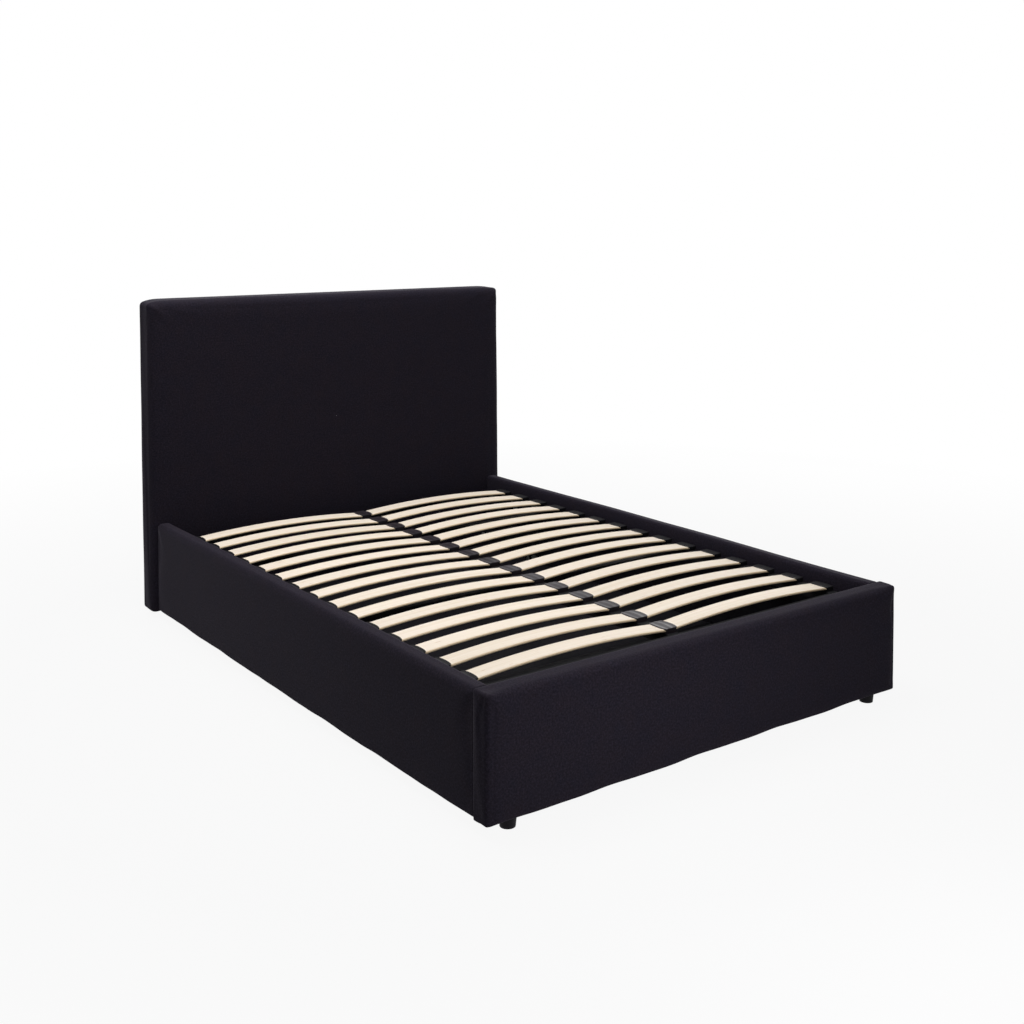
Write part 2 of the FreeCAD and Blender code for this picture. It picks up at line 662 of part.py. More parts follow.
def bracket_bolts():
    body = new_body("bracket_bolts")
    bolts_along_x(body, rail_bolts, bracket_x, "sizes.bracket_thickness")
    bolts_along_y(body, f"({headboard_y} - sizes.bracket_thickness)", True)
    bolts_along_y(body, f"({footboard_y} + sizes.bracket_thickness)", False)
    mirror(body, "YZ_Plane")
    keep(body, "bracket_bolts")


# Lid rests: angles on the rails near the foot, each with a rubber buffer under the lid's side tube.
def lid_rests():
    body = new_body("lid_rests")
    sketch = sketch_on(body, "XZ_Plane", f"(0 - {rest_mid_y})")
    low = f"({rest_top_z} - sizes.rest_drop)"
    under = f"({rest_top_z} - sizes.bracket_thickness)"
    outline(sketch, [(bracket_x, low), (board_in_x, low), (board_in_x, rest_top_z), (tube_in_x, rest_top_z),
                     (tube_in_x, under), (bracket_x, under)])
    pad(body, sketch, "sizes.rest_width", "Symmetric")
    drill_along_x(body, rest_bolts, bracket_x, "sizes.bracket_thickness")
    mirror(body, "YZ_Plane")
    keep(body, "lid_rests")


def rest_buffers():
    body = new_body("rest_buffers")
    sketch = sketch_on(body, "XY_Plane", rest_top_z)
    square(sketch, f"(({tube_in_x} + {lid_half}) / 2)", rest_mid_y, "sizes.buffer_width")
    pad(body, sketch, "sizes.buffer_height")
    mirror(body, "YZ_Plane")
    keep(body, "rest_buffers")


# Hinge plates on the rails carry the lid's pin above and the strut's stud below.
def hinge_plate():
    body = new_body("right_hinge_plate")
    sketch = sketch_on(body, "YZ_Plane", plate_in_x)
    outline(
        sketch,
        [
            (plate_foot_y, plate_low_z),
            (plate_toe_y, plate_low_z),
            (plate_head_y, plate_head_z),
            (plate_head_y, plate_top_z),
            (plate_shoulder_y, plate_top_z),
            (plate_foot_y, plate_foot_z),
        ],
    )
    pad(body, sketch, "sizes.plate_thickness")
    round_edges(body, "sizes.plate_round", lambda edge: along(edge, "x"))
    drill_along_x(body, plate_bolts, plate_in_x, "sizes.plate_thickness")
    keep(body, "right_hinge_plate")
    keep(left_of(body, "left_hinge_plate"), "left_hinge_plate")


def hinge_plate_bolts():
    body = new_body("hinge_plate_bolts")
    bolts_along_x(body, plate_bolts, plate_in_x, "sizes.plate_thickness")
    mirror(body, "YZ_Plane")
    keep(body, "hinge_plate_bolts")


# A stepped pin along X, welded to its plate by its collar. A step has two ends, a shape and a size.
def stepped_pin(body, y, z, steps):
    for start, end, shape, size in steps:
        sketch = sketch_on(body, "YZ_Plane", start)
        shape(sketch, y, z, size)
        pad(body, sketch, f"{end} - {start}")


def hinge_pins():
    body = new_body("hinge_pins")
    collar = f"({arm_out_x} + sizes.side_play)"
    head = f"({lid_half} - sizes.side_play)"
    stepped_pin(body, pivot_y, pivot_z, [
        (f"({head} - sizes.pin_head_depth)", head, hexagon, "sizes.pin_head"),
        (head, collar, circle, "sizes.pin_diameter"),
        (collar, plate_in_x, hexagon, "sizes.pin_head"),
    ])
    mirror(body, "YZ_Plane")
    keep(body, "hinge_pins")


eye_out_x = f"({strut_x} + sizes.eye_width / 2 + sizes.side_play)"
eye_in_x = f"({strut_x} - sizes.eye_width / 2 - sizes.side_play)"


def strut_base_studs():
    body = new_body("strut_base_studs")
    stepped_pin(body, base_stud_y, base_stud_z, [
        (f"({eye_in_x} - sizes.stud_head_depth)", eye_in_x, hexagon, "sizes.stud_head"),
        (eye_in_x, eye_out_x, circle, "sizes.stud_diameter"),
        (eye_out_x, plate_in_x, hexagon, "sizes.stud_head"),
    ])
    mirror(body, "YZ_Plane")
    keep(body, "strut_base_studs")


# Lid frame: square steel tubes, butted at the corners.
def tube_along_y(label, x, y):
    body = new_body(label)
    sketch = sketch_on(body, "XZ_Plane", f"(0 - {y[0]})")
    rectangle(sketch, x, (tube_low_z, "sizes.lid_height"))
    rectangle(
        sketch,
        (f"({x[0]} + sizes.tube_wall)", f"({x[1]} - sizes.tube_wall)"),
        (f"({tube_low_z} + sizes.tube_wall)", "(sizes.lid_height - sizes.tube_wall)"),
    )
    pad(body, sketch, f"{y[1]} - {y[0]}", backwards=True)
    return body


def tube_along_x(label, x, middle_y):
    body = new_body(label)
    half = "(sizes.tube_width / 2)"
    sketch = sketch_on(body, "YZ_Plane", x[0])
    rectangle(sketch, (f"({middle_y} - {half})", f"({middle_y} + {half})"), (tube_low_z, "sizes.lid_height"))
    rectangle(
        sketch,
        (f"({middle_y} - {half} + sizes.tube_wall)", f"({middle_y} + {half} - sizes.tube_wall)"),
        (f"({tube_low_z} + sizes.tube_wall)", "(sizes.lid_height - sizes.tube_wall)"),
    )
    pad(body, sketch, f"{x[1]} - {x[0]}")
    return body


centre_half = "(sizes.centre_tube_width / 2)"


def side_tubes():
    body = tube_along_y("right_side_tube", (tube_in_x, lid_half), (lid_foot_y, lid_head_y))
    drill_along_x(body, [(y, arm_bolt_z) for y in arm_bolt_y], tube_in_x, "sizes.tube_width")
    keep(body, "right_side_tube")
    keep(left_of(body, "left_side_tube"), "left_side_tube")


def inner_tubes():
    across = (f"(0 - {tube_in_x})", tube_in_x)
    keep(tube_along_x("head_tube", across, head_tube_y), "head_tube")
    keep(tube_along_x("foot_tube", across, foot_tube_y), "foot_tube")
    run = (f"({foot_tube_y} + sizes.tube_width / 2)", f"({head_tube_y} - sizes.tube_width / 2)")
    keep(tube_along_y("centre_tube", (f"(0 - {centre_half})", centre_half), run), "centre_tube")
    right = []
    for name, row in (("near", "sizes.near_tube_rows"), ("far", "sizes.far_tube_rows")):
        middle = f"({first_row_y} + ({row} - 1) * {slat_pitch} + sizes.cross_tube_lag)"
        right.append(tube_along_x(f"{name}_cross_tube", (centre_half, tube_in_x), middle))
    pair = together("right_cross_tubes", right)
    keep(together("cross_tubes", [pair, left_of(pair, "left_cross_tubes")]), "cross_tubes")


# Plastic plugs in the open ends of the side tubes.
def tube_end_plugs():
    body = new_body("tube_end_plugs")
    for end, sign, outwards in ((lid_head_y, "+", True), (lid_foot_y, "-", False)):
        head = sketch_on(body, "XZ_Plane", f"(0 - {end})")
        rectangle(head, (tube_in_x, lid_half), (tube_low_z, "sizes.lid_height"))
        pad(body, head, "sizes.plug_lip", backwards=outwards)
        stem = sketch_on(body, "XZ_Plane", f"(0 - {end})")
        room = "(sizes.tube_wall + sizes.bolt_fit)"
        rectangle(
            stem,
            (f"({tube_in_x} + {room})", f"({lid_half} - {room})"),
            (f"({tube_low_z} + {room})", f"(sizes.lid_height - {room})"),
        )
        pad(body, stem, "sizes.plug_depth", backwards=not outwards)
    mirror(body, "YZ_Plane")
    keep(body, "tube_end_plugs")


# Lift arms: plates bolted to the side tubes, hanging below them to the hinge pin and the strut's stud.
def lift_arm():
    body = new_body("right_lift_arm")
    sketch = sketch_on(body, "YZ_Plane", lid_half)
    low = f"({pivot_z} - sizes.plate_edge)"
    rectangle(
        sketch,
        (f"({stud_y} - sizes.plate_edge)", f"({pivot_y} + sizes.plate_edge)"),
        (low, "sizes.lid_height"),
    )
    pad(body, sketch, "sizes.plate_thickness")
    round_edges(body, "sizes.arm_round", lambda edge: along(edge, "x") and near(spot(edge).z, low))
    drill_along_x(body, [(y, arm_bolt_z) for y in arm_bolt_y], lid_half, "sizes.plate_thickness")
    pin_hole = "(sizes.pin_diameter + 2 * sizes.running_fit)"
    drill_along_x(body, [(pivot_y, pivot_z)], lid_half, "sizes.plate_thickness", circle, pin_hole)
    keep(body, "right_lift_arm")
    keep(left_of(body, "left_lift_arm"), "left_lift_arm")


def arm_bolts():
    body = new_body("arm_bolts")
    for y in arm_bolt_y:
        stepped_pin(body, y, arm_bolt_z, [
            (f"({tube_in_x} - sizes.bolt_head_depth)", tube_in_x, hexagon, "sizes.bolt_head"),
            (tube_in_x, arm_out_x, square, "sizes.bolt_neck"),
            (arm_out_x, f"({arm_out_x} + sizes.bolt_head_depth)", hexagon, "sizes.bolt_head"),
        ])
    mirror(body, "YZ_Plane")
    keep(body, "arm_bolts")


def strut_lid_studs():
    body = new_body("strut_lid_studs")
    stepped_pin(body, stud_y, pivot_z, [
        (f"({eye_in_x} - sizes.stud_head_depth)", eye_in_x, hexagon, "sizes.stud_head"),
        (eye_in_x, eye_out_x, circle, "sizes.stud_diameter"),
        (eye_out_x, lid_half, hexagon, "sizes.stud_head"),
    ])
    mirror(body, "YZ_Plane")
    keep(body, "strut_lid_studs")


# Slats: bent strips, one each side of the middle, a row at a time.
def bowed_strip(sketch, room, ends, side):
    first = sketch.GeometryCount
    middle_x = f"({side}{slat_mid_x})"
    low_radius = f"({bow_radius} - {room})"
    top_radius = f"({bow_radius} + sizes.slat_thickness + {room})"
    middle = vector(value(middle_x), value(bow_z), 0)
    places = sorted(((value(end), end) for end in ends))
    corners = []
    for radius in (low_radius, top_radius):
        reach = value(radius)
        row = []
        for number, _ in places:
            row.append(vector(number, middle.y + (reach ** 2 - (number - middle.x) ** 2) ** 0.5, 0))
        corners.append((row, vector(middle.x, middle.y + reach, 0)))
    (low_left, low_right), low_mid = corners[0]
    (top_left, top_right), top_mid = corners[1]
    sketch.addGeometry(Part.Arc(low_left, low_mid, low_right), False)
    sketch.addGeometry(Part.LineSegment(low_right, top_right), False)
    sketch.addGeometry(Part.Arc(top_right, top_mid, top_left), False)
    sketch.addGeometry(Part.LineSegment(top_left, low_left), False)
    # Both arcs run anticlockwise, so the lower one starts at the right.
    low, right, top, left = range(first, first + 4)
    corner_pairs = ((low, 1, right, 1), (right, 2, top, 1), (top, 2, left, 1), (left, 2, low, 2))
    for pair in (*corner_pairs, (low, 3, top, 3)):
        sketch.addConstraint(Sketcher.Constraint("Coincident", *pair))
    sketch.addConstraint(Sketcher.Constraint("Vertical", right))
    sketch.addConstraint(Sketcher.Constraint("Vertical", left))
    place_point(sketch, low, 3, middle_x, bow_z)
    bind(sketch, "Radius", (low,), low_radius)
    bind(sketch, "Radius", (top,), top_radius)
    bind(sketch, "DistanceX", (-1, 1, left, 1), places[0][1])
    bind(sketch, "DistanceX", (-1, 1, right, 1), places[1][1])


def row_y(number):
    return f"({first_row_y} + {number} * {slat_pitch})"


def slat_row(number):
    label = f"slat_row_{number + 1:02d}"
    body = new_body(label)
    sketch = sketch_on(body, "XZ_Plane", f"(0 - {row_y(number)})")
    bowed_strip(sketch, "0", ("sizes.slat_start", slat_end_x), "")
    bowed_strip(sketch, "0", ("(0 - sizes.slat_start)", f"(0 - {slat_end_x})"), "0 - ")
    pad(body, sketch, "sizes.slat_width", "Symmetric")
    keep(body, label)


# Slat holders: a moulded pocket for each slat end, with a curved lip over the slat on each side in lips.
half_holder = "(sizes.slat_width / 2 + sizes.slat_clearance + sizes.cap_side)"
lip_radius = f"(({half_holder} ^ 2 + sizes.cap_lip ^ 2) / (2 * sizes.cap_lip))"


def slat_holders(label, across, lips, slots, mouths):
    body = new_body(label)
    low, high = (f"({row_y(0)} {sign} {half_holder})" for sign in "-+")
    sketch = sketch_on(body, "XY_Plane", "sizes.lid_height")
    outline(sketch, [(across[0], low), (across[1], low), (across[1], high), (across[0], high)], arcs=lips)
    for side in lips:
        bind(sketch, "Radius", (side,), lip_radius)
    pad(body, sketch, "sizes.cap_height")
    slot = sketch_on(body, "XZ_Plane", f"(0 - {row_y(0)})")
    for ends, side in slots:
        bowed_strip(slot, "sizes.slat_clearance", ends, side)
    pocket(body, slot, "sizes.slat_width + 2 * sizes.slat_clearance", "Symmetric")
    under = sketch_on(body, "XZ_Plane", f"(0 - {row_y(0)})")
    for ends in mouths:
        rectangle(under, ends, ("sizes.lid_height", f"({slat_low_z} + sizes.slat_thickness / 2)"))
    pocket(body, under, f"2 * {half_holder}", "Symmetric")
    repeat(body, "Y_Axis", "sizes.slat_rows", slat_pitch)
    keep(body, label)
    return body


# Each slot runs out past its holder's lip, and the floor under the lip is cut away.
def all_slat_holders():
    past_lip = "2 * sizes.cap_lip"
    mouth = f"({lid_half} - sizes.cap_depth)"
    outside = f"({mouth} - {past_lip})"
    closed = f"({slat_end_x} + sizes.slat_clearance)"
    slots = [((outside, closed), "")]
    right = slat_holders("right_slat_holders", (mouth, lid_half), [3], slots, [(outside, mouth)])
    keep(left_of(right, "left_slat_holders"), "left_slat_holders")
    mouth = "sizes.centre_cap_half"
    outside = f"({mouth} + {past_lip})"
    closed = "(sizes.slat_start - sizes.slat_clearance)"
    slots = [((closed, outside), ""), ((f"(0 - {closed})", f"(0 - {outside})"), "0 - ")]
    mouths = [(mouth, outside), (f"(0 - {outside})", f"(0 - {mouth})")]
    slat_holders("centre_slat_holders", (f"(0 - {mouth})", mouth), [1, 3], slots, mouths)


# Gas struts stand along their own axis here and are then turned to run from stud to stud.
def strut_piece(label, profile, eye_at):
    body = new_body(label)
    sketch = sketch_on(body, "XZ_Plane")
    outline(sketch, profile)
    turn(body, sketch, "V_Axis")
    eye = sketch_on(body, "YZ_Plane")
    circle(eye, "0", eye_at, "sizes.eye_diameter")
    pad(body, eye, "sizes.eye_width", "Symmetric")
    hole = sketch_on(body, "YZ_Plane")
    circle(hole, "0", eye_at, "(sizes.stud_diameter + 2 * sizes.running_fit)")
    pocket(body, hole, "max(sizes.eye_width; sizes.barrel_diameter)", "Symmetric")
    put(body, strut_x, base_stud_y, base_stud_z)
    for axis, share in zip("xyz", "100"):
        body.setExpression(f"Placement.Rotation.Axis.{axis}", share)
    body.setExpression("Placement.Rotation.Angle", "sizes.strut_spread / 2 * 1 deg")
    keep(body, f"right_{label}")
    keep(left_of(body, f"left_{label}"), f"left_{label}")


def struts():
    radius = "(sizes.barrel_diameter / 2)"
    neck = "(sizes.neck_diameter / 2)"
    rod = "(sizes.rod_diameter / 2)"
    bore = f"({rod} + sizes.rod_fit)"
    eye_hole = "(sizes.stud_diameter / 2)"
    low = "sizes.barrel_base"
    floor = "(sizes.barrel_base + sizes.barrel_floor)"
    top = "(sizes.barrel_base + sizes.barrel_length)"
    strut_piece("strut_barrel", [
        ("0", eye_hole), (neck, eye_hole), (neck, low), (radius, low), (radius, top), (bore, top),
        (bore, floor), ("0", floor)], "0")
    start = "(sizes.barrel_base + sizes.rod_reach)"
    end = f"({strut_rest} - {eye_hole})"
    strut_piece("strut_rod", [("0", start), (rod, start), (rod, end), ("0", end)], strut_rest)


headboard_frame()
headboard_panel()
headboard_upholstery()
headboard_back_cloth()
footboard_board()
footboard_upholstery()
rail_boards()
rail_upholstery()
corner_feet()
rail_cleats()
centre_beam()
beam_feet()
floor_panels()
corner_brackets()
bracket_bolts()
lid_rests()
rest_buffers()
hinge_plate()
hinge_plate_bolts()
hinge_pins()
strut_base_studs()
side_tubes()
inner_tubes()
tube_end_plugs()
lift_arm()
arm_bolts()
strut_lid_studs()
for number in range(int(value("sizes.slat_rows"))):
    slat_row(number)
all_slat_holders()
struts()

doc.recompute()
for piece in doc.Objects:
    if "Invalid" in piece.State or "Error" in piece.State:
        raise RuntimeError(f"{piece.Name} failed: {piece.State}")
for piece in nodes:
    if piece.Shape.isNull() or not piece.Shape.isValid():
        raise RuntimeError(f"{piece.Label} has no valid shape")

os.makedirs("parts", exist_ok=True)
for piece in nodes:
    piece.Shape.exportStep(f"parts/{piece.Label}.step")
print(f"{len(nodes)} nodes written")
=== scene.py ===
import math
import bmesh
import bpy
import numpy as np
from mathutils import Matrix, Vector


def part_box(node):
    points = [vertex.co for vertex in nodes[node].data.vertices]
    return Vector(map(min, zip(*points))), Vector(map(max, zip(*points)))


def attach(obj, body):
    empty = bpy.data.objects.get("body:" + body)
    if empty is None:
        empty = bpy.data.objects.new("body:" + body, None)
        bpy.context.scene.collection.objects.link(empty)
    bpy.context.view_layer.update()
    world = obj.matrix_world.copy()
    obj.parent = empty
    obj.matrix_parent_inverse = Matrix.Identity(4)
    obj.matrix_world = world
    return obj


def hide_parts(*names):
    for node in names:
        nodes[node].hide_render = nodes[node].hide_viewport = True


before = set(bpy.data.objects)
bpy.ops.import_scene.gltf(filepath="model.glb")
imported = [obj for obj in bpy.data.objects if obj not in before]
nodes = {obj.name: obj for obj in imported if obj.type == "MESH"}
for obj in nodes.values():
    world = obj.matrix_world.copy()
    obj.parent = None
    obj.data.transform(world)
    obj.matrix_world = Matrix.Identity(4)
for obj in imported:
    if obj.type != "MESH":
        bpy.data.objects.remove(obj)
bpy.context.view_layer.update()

scene = bpy.context.scene
print("frame loaded:", len(nodes), "CAD nodes")


# helpers

def linear(hexCode):  # sRGB hex to linear light: the usual two-piece curve, alpha one
    parts = np.array([int(hexCode[i:i + 2], 16) for i in (1, 3, 5)]) / 255
    light = np.where(parts <= 0.04045, parts / 12.92, ((parts + 0.055) / 1.055) ** 2.4)
    return (*light.tolist(), 1.0)


def addNode(tree, kind, settings=None, links=None):
    # settings are node properties or socket values, links are sockets with the outputs that feed them
    node = tree.nodes.new(kind)
    for name, value in (settings or {}).items():
        if isinstance(name, str) and name in node.bl_rna.properties:
            setattr(node, name, value)
        else:
            node.inputs[name].default_value = value
    for name, output in (links or {}).items():
        tree.links.new(output, node.inputs[name])
    return node


def newMaterial(name):
    material = bpy.data.materials.new(name)
    material.use_nodes = True
    tree = material.node_tree
    tree.nodes.clear()
    return material, tree


def closeMaterial(tree, settings, links, bump):
    # principled shader and output; bump is a height output, a strength and a distance in metres
    relief = addNode(tree, "ShaderNodeBump", {"Strength": bump[1], "Distance": bump[2]}, {"Height": bump[0]})
    shader = addNode(tree, "ShaderNodeBsdfPrincipled", settings,
                     {**links, "Normal": relief.outputs["Normal"]})
    addNode(tree, "ShaderNodeOutputMaterial", {}, {"Surface": shader.outputs["BSDF"]})


def ramp(tree, fac, stops):  # colour ramp from (position, hex) stops
    node = addNode(tree, "ShaderNodeValToRGB", {}, {"Fac": fac})
    band = node.color_ramp
    while len(band.elements) < len(stops):
        band.elements.new(0.5)
    for element, (place, hexCode) in zip(band.elements, stops):
        element.position = place
        element.color = linear(hexCode)
    return node.outputs["Color"]


def smoothStep(low, high, value):  # 3t^2 - 2t^3 with t from low to high, or falling where low is the larger
    t = np.clip((value - low) / (high - low), 0, 1)
    return t * t * (3 - 2 * t)


def waver(a, b, seed):  # slow uneven undulation: a few crossing sines of unlike length, between -1 and 1
    draw = np.random.default_rng(seed)
    sizes = (0.9, 0.55, 0.31, 0.17)
    total = np.zeros(np.shape(a))
    for size in sizes:
        turn, phase = draw.uniform(0, math.pi), draw.uniform(0, 2 * math.pi)
        length = 0.55 * size + 0.08
        total += size * np.sin(2 * math.pi * (a * math.cos(turn) + b * math.sin(turn)) / length + phase)
    return total / sum(sizes)


def gridFaces(index):  # quads between the neighbours in a grid of vertex numbers
    corners = [index[:-1, :-1], index[1:, :-1], index[1:, 1:], index[:-1, 1:]]
    return np.stack(corners, axis=-1).reshape(-1, 4)


def sweepFaces(copies, stations, ring):  # quads between neighbouring rings, and each end ring as one face
    base = np.arange(copies * stations * ring).reshape(copies, stations, ring)
    after = np.roll(base, -1, axis=2)
    quads = np.stack([base[:, :-1], after[:, :-1], after[:, 1:], base[:, 1:]], axis=-1)
    return quads.reshape(-1, 4).tolist() + base[:, 0, ::-1].tolist() + base[:, -1].tolist()


def makePiece(name, points, faces, material, body, stands=(), sharp=40):
    # sharp is the angle in degrees past which an edge is shaded hard, none for cloth
    mesh = bpy.data.meshes.new(name)
    mesh.from_pydata(np.asarray(points).reshape(-1, 3).tolist(), [], faces)
    skin = bmesh.new()
    skin.from_mesh(mesh)
    bmesh.ops.recalc_face_normals(skin, faces=skin.faces)
    skin.to_mesh(mesh)
    skin.free()
    mesh.shade_smooth()
    if sharp:
        mesh.set_sharp_from_angle(angle=math.radians(sharp))
    mesh.materials.append(material)
    piece = bpy.data.objects.new(name, mesh)
    scene.collection.objects.link(piece)
    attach(piece, body)
    if stands:
        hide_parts(*stands)
    return piece


def setAttribute(piece, name, values):  # one number per vertex, for the material
    layer = piece.data.attributes.new(name, "FLOAT", "POINT")
    layer.data.foreach_set("value", np.ascontiguousarray(values, dtype=np.float32).ravel())


def vertexRows(mesh, field="co"):  # places or normals, one row per vertex
    flat = np.empty(len(mesh.vertices) * 3, dtype=np.float32)
    mesh.vertices.foreach_get(field, flat)
    return flat.reshape(-1, 3).astype(float)


def moveTo(piece, points):
    piece.data.vertices.foreach_set("co", points.astype(np.float32).ravel())
    piece.data.update()


def moveAlongNormals(piece, amount):
    moveTo(piece, vertexRows(piece.data) + vertexRows(piece.data, "normal") * amount[:, None])


# materials

fabric = {
    # shadow, thread and pale colour the weave: partly the slubs' own tone, partly painted shade in the dips
    # between threads and painted highlight on their crowns
    "shadow": "#0d0b11", "thread": "#1e1a23", "pale": "#332e3b",  # near-black threads with a purple cast
    "cool": "#1a1923", "warm": "#221c22", "patchShare": 0.4,      # large soft patches, bluish and reddish
    "lint": "#8d8890", "lintSize": 0.018, "lintFrom": 0.55,       # specks in the cells drawn above lintFrom
    "sheen": 0.13, "sheenTint": "#cbc3d2",
    "threadPitch": 0.0032,  # real threads are 0.8 mm apart, drawn four times as coarse so that they show
    "threadWobble": 0.0022, "threadHeight": 0.16, "relief": 0.0006,
}


def makeWovenPolyester():
    # plain-woven polyester, linen look: fine crossing threads, slubs, and a dull fuzz that pales edge-on
    material, tree = newMaterial("plain_woven_polyester")
    uv = addNode(tree, "ShaderNodeUVMap", {"uv_map": "cloth"}).outputs["UV"]
    place = addNode(tree, "ShaderNodeTexCoord").outputs["Object"]
    wobble = addNode(tree, "ShaderNodeTexNoise",
                     {"noise_dimensions": "2D", "Scale": 90.0, "Detail": 2.0}, {"Vector": uv})
    shift = addNode(tree, "ShaderNodeVectorMath",
                    {"operation": "MULTIPLY", 1: (fabric["threadWobble"], fabric["threadWobble"], 0.0)},
                    {0: wobble.outputs["Color"]})
    bent = addNode(tree, "ShaderNodeVectorMath", {"operation": "ADD"}, {0: uv, 1: shift.outputs[0]})
    rounds = 2 * math.pi / fabric["threadPitch"]
    turned = addNode(tree, "ShaderNodeVectorMath", {"operation": "MULTIPLY", 1: (rounds, rounds, 0.0)},
                     {0: bent.outputs[0]})
    waves = addNode(tree, "ShaderNodeVectorMath", {"operation": "SINE"}, {0: turned.outputs[0]})
    axes = addNode(tree, "ShaderNodeSeparateXYZ", {}, {0: waves.outputs[0]})
    cross = addNode(tree, "ShaderNodeMath", {"operation": "MULTIPLY"},
                    {0: axes.outputs["X"], 1: axes.outputs["Y"]})
    slubs = addNode(tree, "ShaderNodeTexNoise",
                    {"noise_dimensions": "2D", "Scale": 190.0, "Detail": 4.0, "Roughness": 0.75},
                    {"Vector": uv})
    height = addNode(tree, "ShaderNodeMath", {"operation": "MULTIPLY_ADD", 1: fabric["threadHeight"]},
                     {0: cross.outputs[0], 2: slubs.outputs["Fac"]})
    # the weave relief paints its own light: dips darker as painted shade, thread crowns paler as painted
    # highlight, over the real tone of the slubs
    weave = ramp(tree, height.outputs[0],
                 [(0.3, fabric["shadow"]), (0.52, fabric["thread"]), (0.75, fabric["pale"])])
    patches = addNode(tree, "ShaderNodeTexNoise", {"Scale": 15.0, "Detail": 6.0, "Roughness": 0.8},
                      {"Vector": place})
    tone = ramp(tree, patches.outputs["Fac"], [(0.36, fabric["cool"]), (0.64, fabric["warm"])])
    body = addNode(tree, "ShaderNodeMix", {"data_type": "RGBA", 0: fabric["patchShare"]}, {6: weave, 7: tone})
    cells = addNode(tree, "ShaderNodeTexVoronoi", {"Scale": 15.0}, {"Vector": place})  # cells of 65 mm
    near = addNode(tree, "ShaderNodeMath", {"operation": "LESS_THAN", 1: fabric["lintSize"]},
                   {0: cells.outputs["Distance"]})
    drawn = addNode(tree, "ShaderNodeSeparateXYZ", {}, {0: cells.outputs["Color"]})
    some = addNode(tree, "ShaderNodeMath", {"operation": "GREATER_THAN", 1: fabric["lintFrom"]},
                   {0: drawn.outputs["X"]})
    speck = addNode(tree, "ShaderNodeMath", {"operation": "MULTIPLY"},
                    {0: near.outputs[0], 1: some.outputs[0]})
    dusted = addNode(tree, "ShaderNodeMix", {"data_type": "RGBA", 7: linear(fabric["lint"])},
                     {0: speck.outputs[0], 6: body.outputs[2]})
    settings = {"Roughness": 0.9, "IOR": 1.5, "Specular IOR Level": 0.08, "Sheen Weight": fabric["sheen"],
                "Sheen Roughness": 0.35, "Sheen Tint": linear(fabric["sheenTint"])}
    closeMaterial(tree, settings, {"Base Color": dusted.outputs[2]},
                  (height.outputs[0], 0.4, fabric["relief"]))
    return material


birch = {
    "pale": "#f0e4d6", "mid": "#ecdfce", "dark": "#e6d7c2", "grainWidth": 0.004, "grainLength": 0.35,
    "fleck": "#c39a70", "fleckShare": 0.7, "plyEdge": "#e0cba6", "plyEdgeShare": 0.7,
    "plyLine": "#bd9f72", "plyLineShare": 0.75, "veneers": 5, "toneRange": (0.965, 1.025),
    "roughness": 0.58, "shine": 0.10,
}


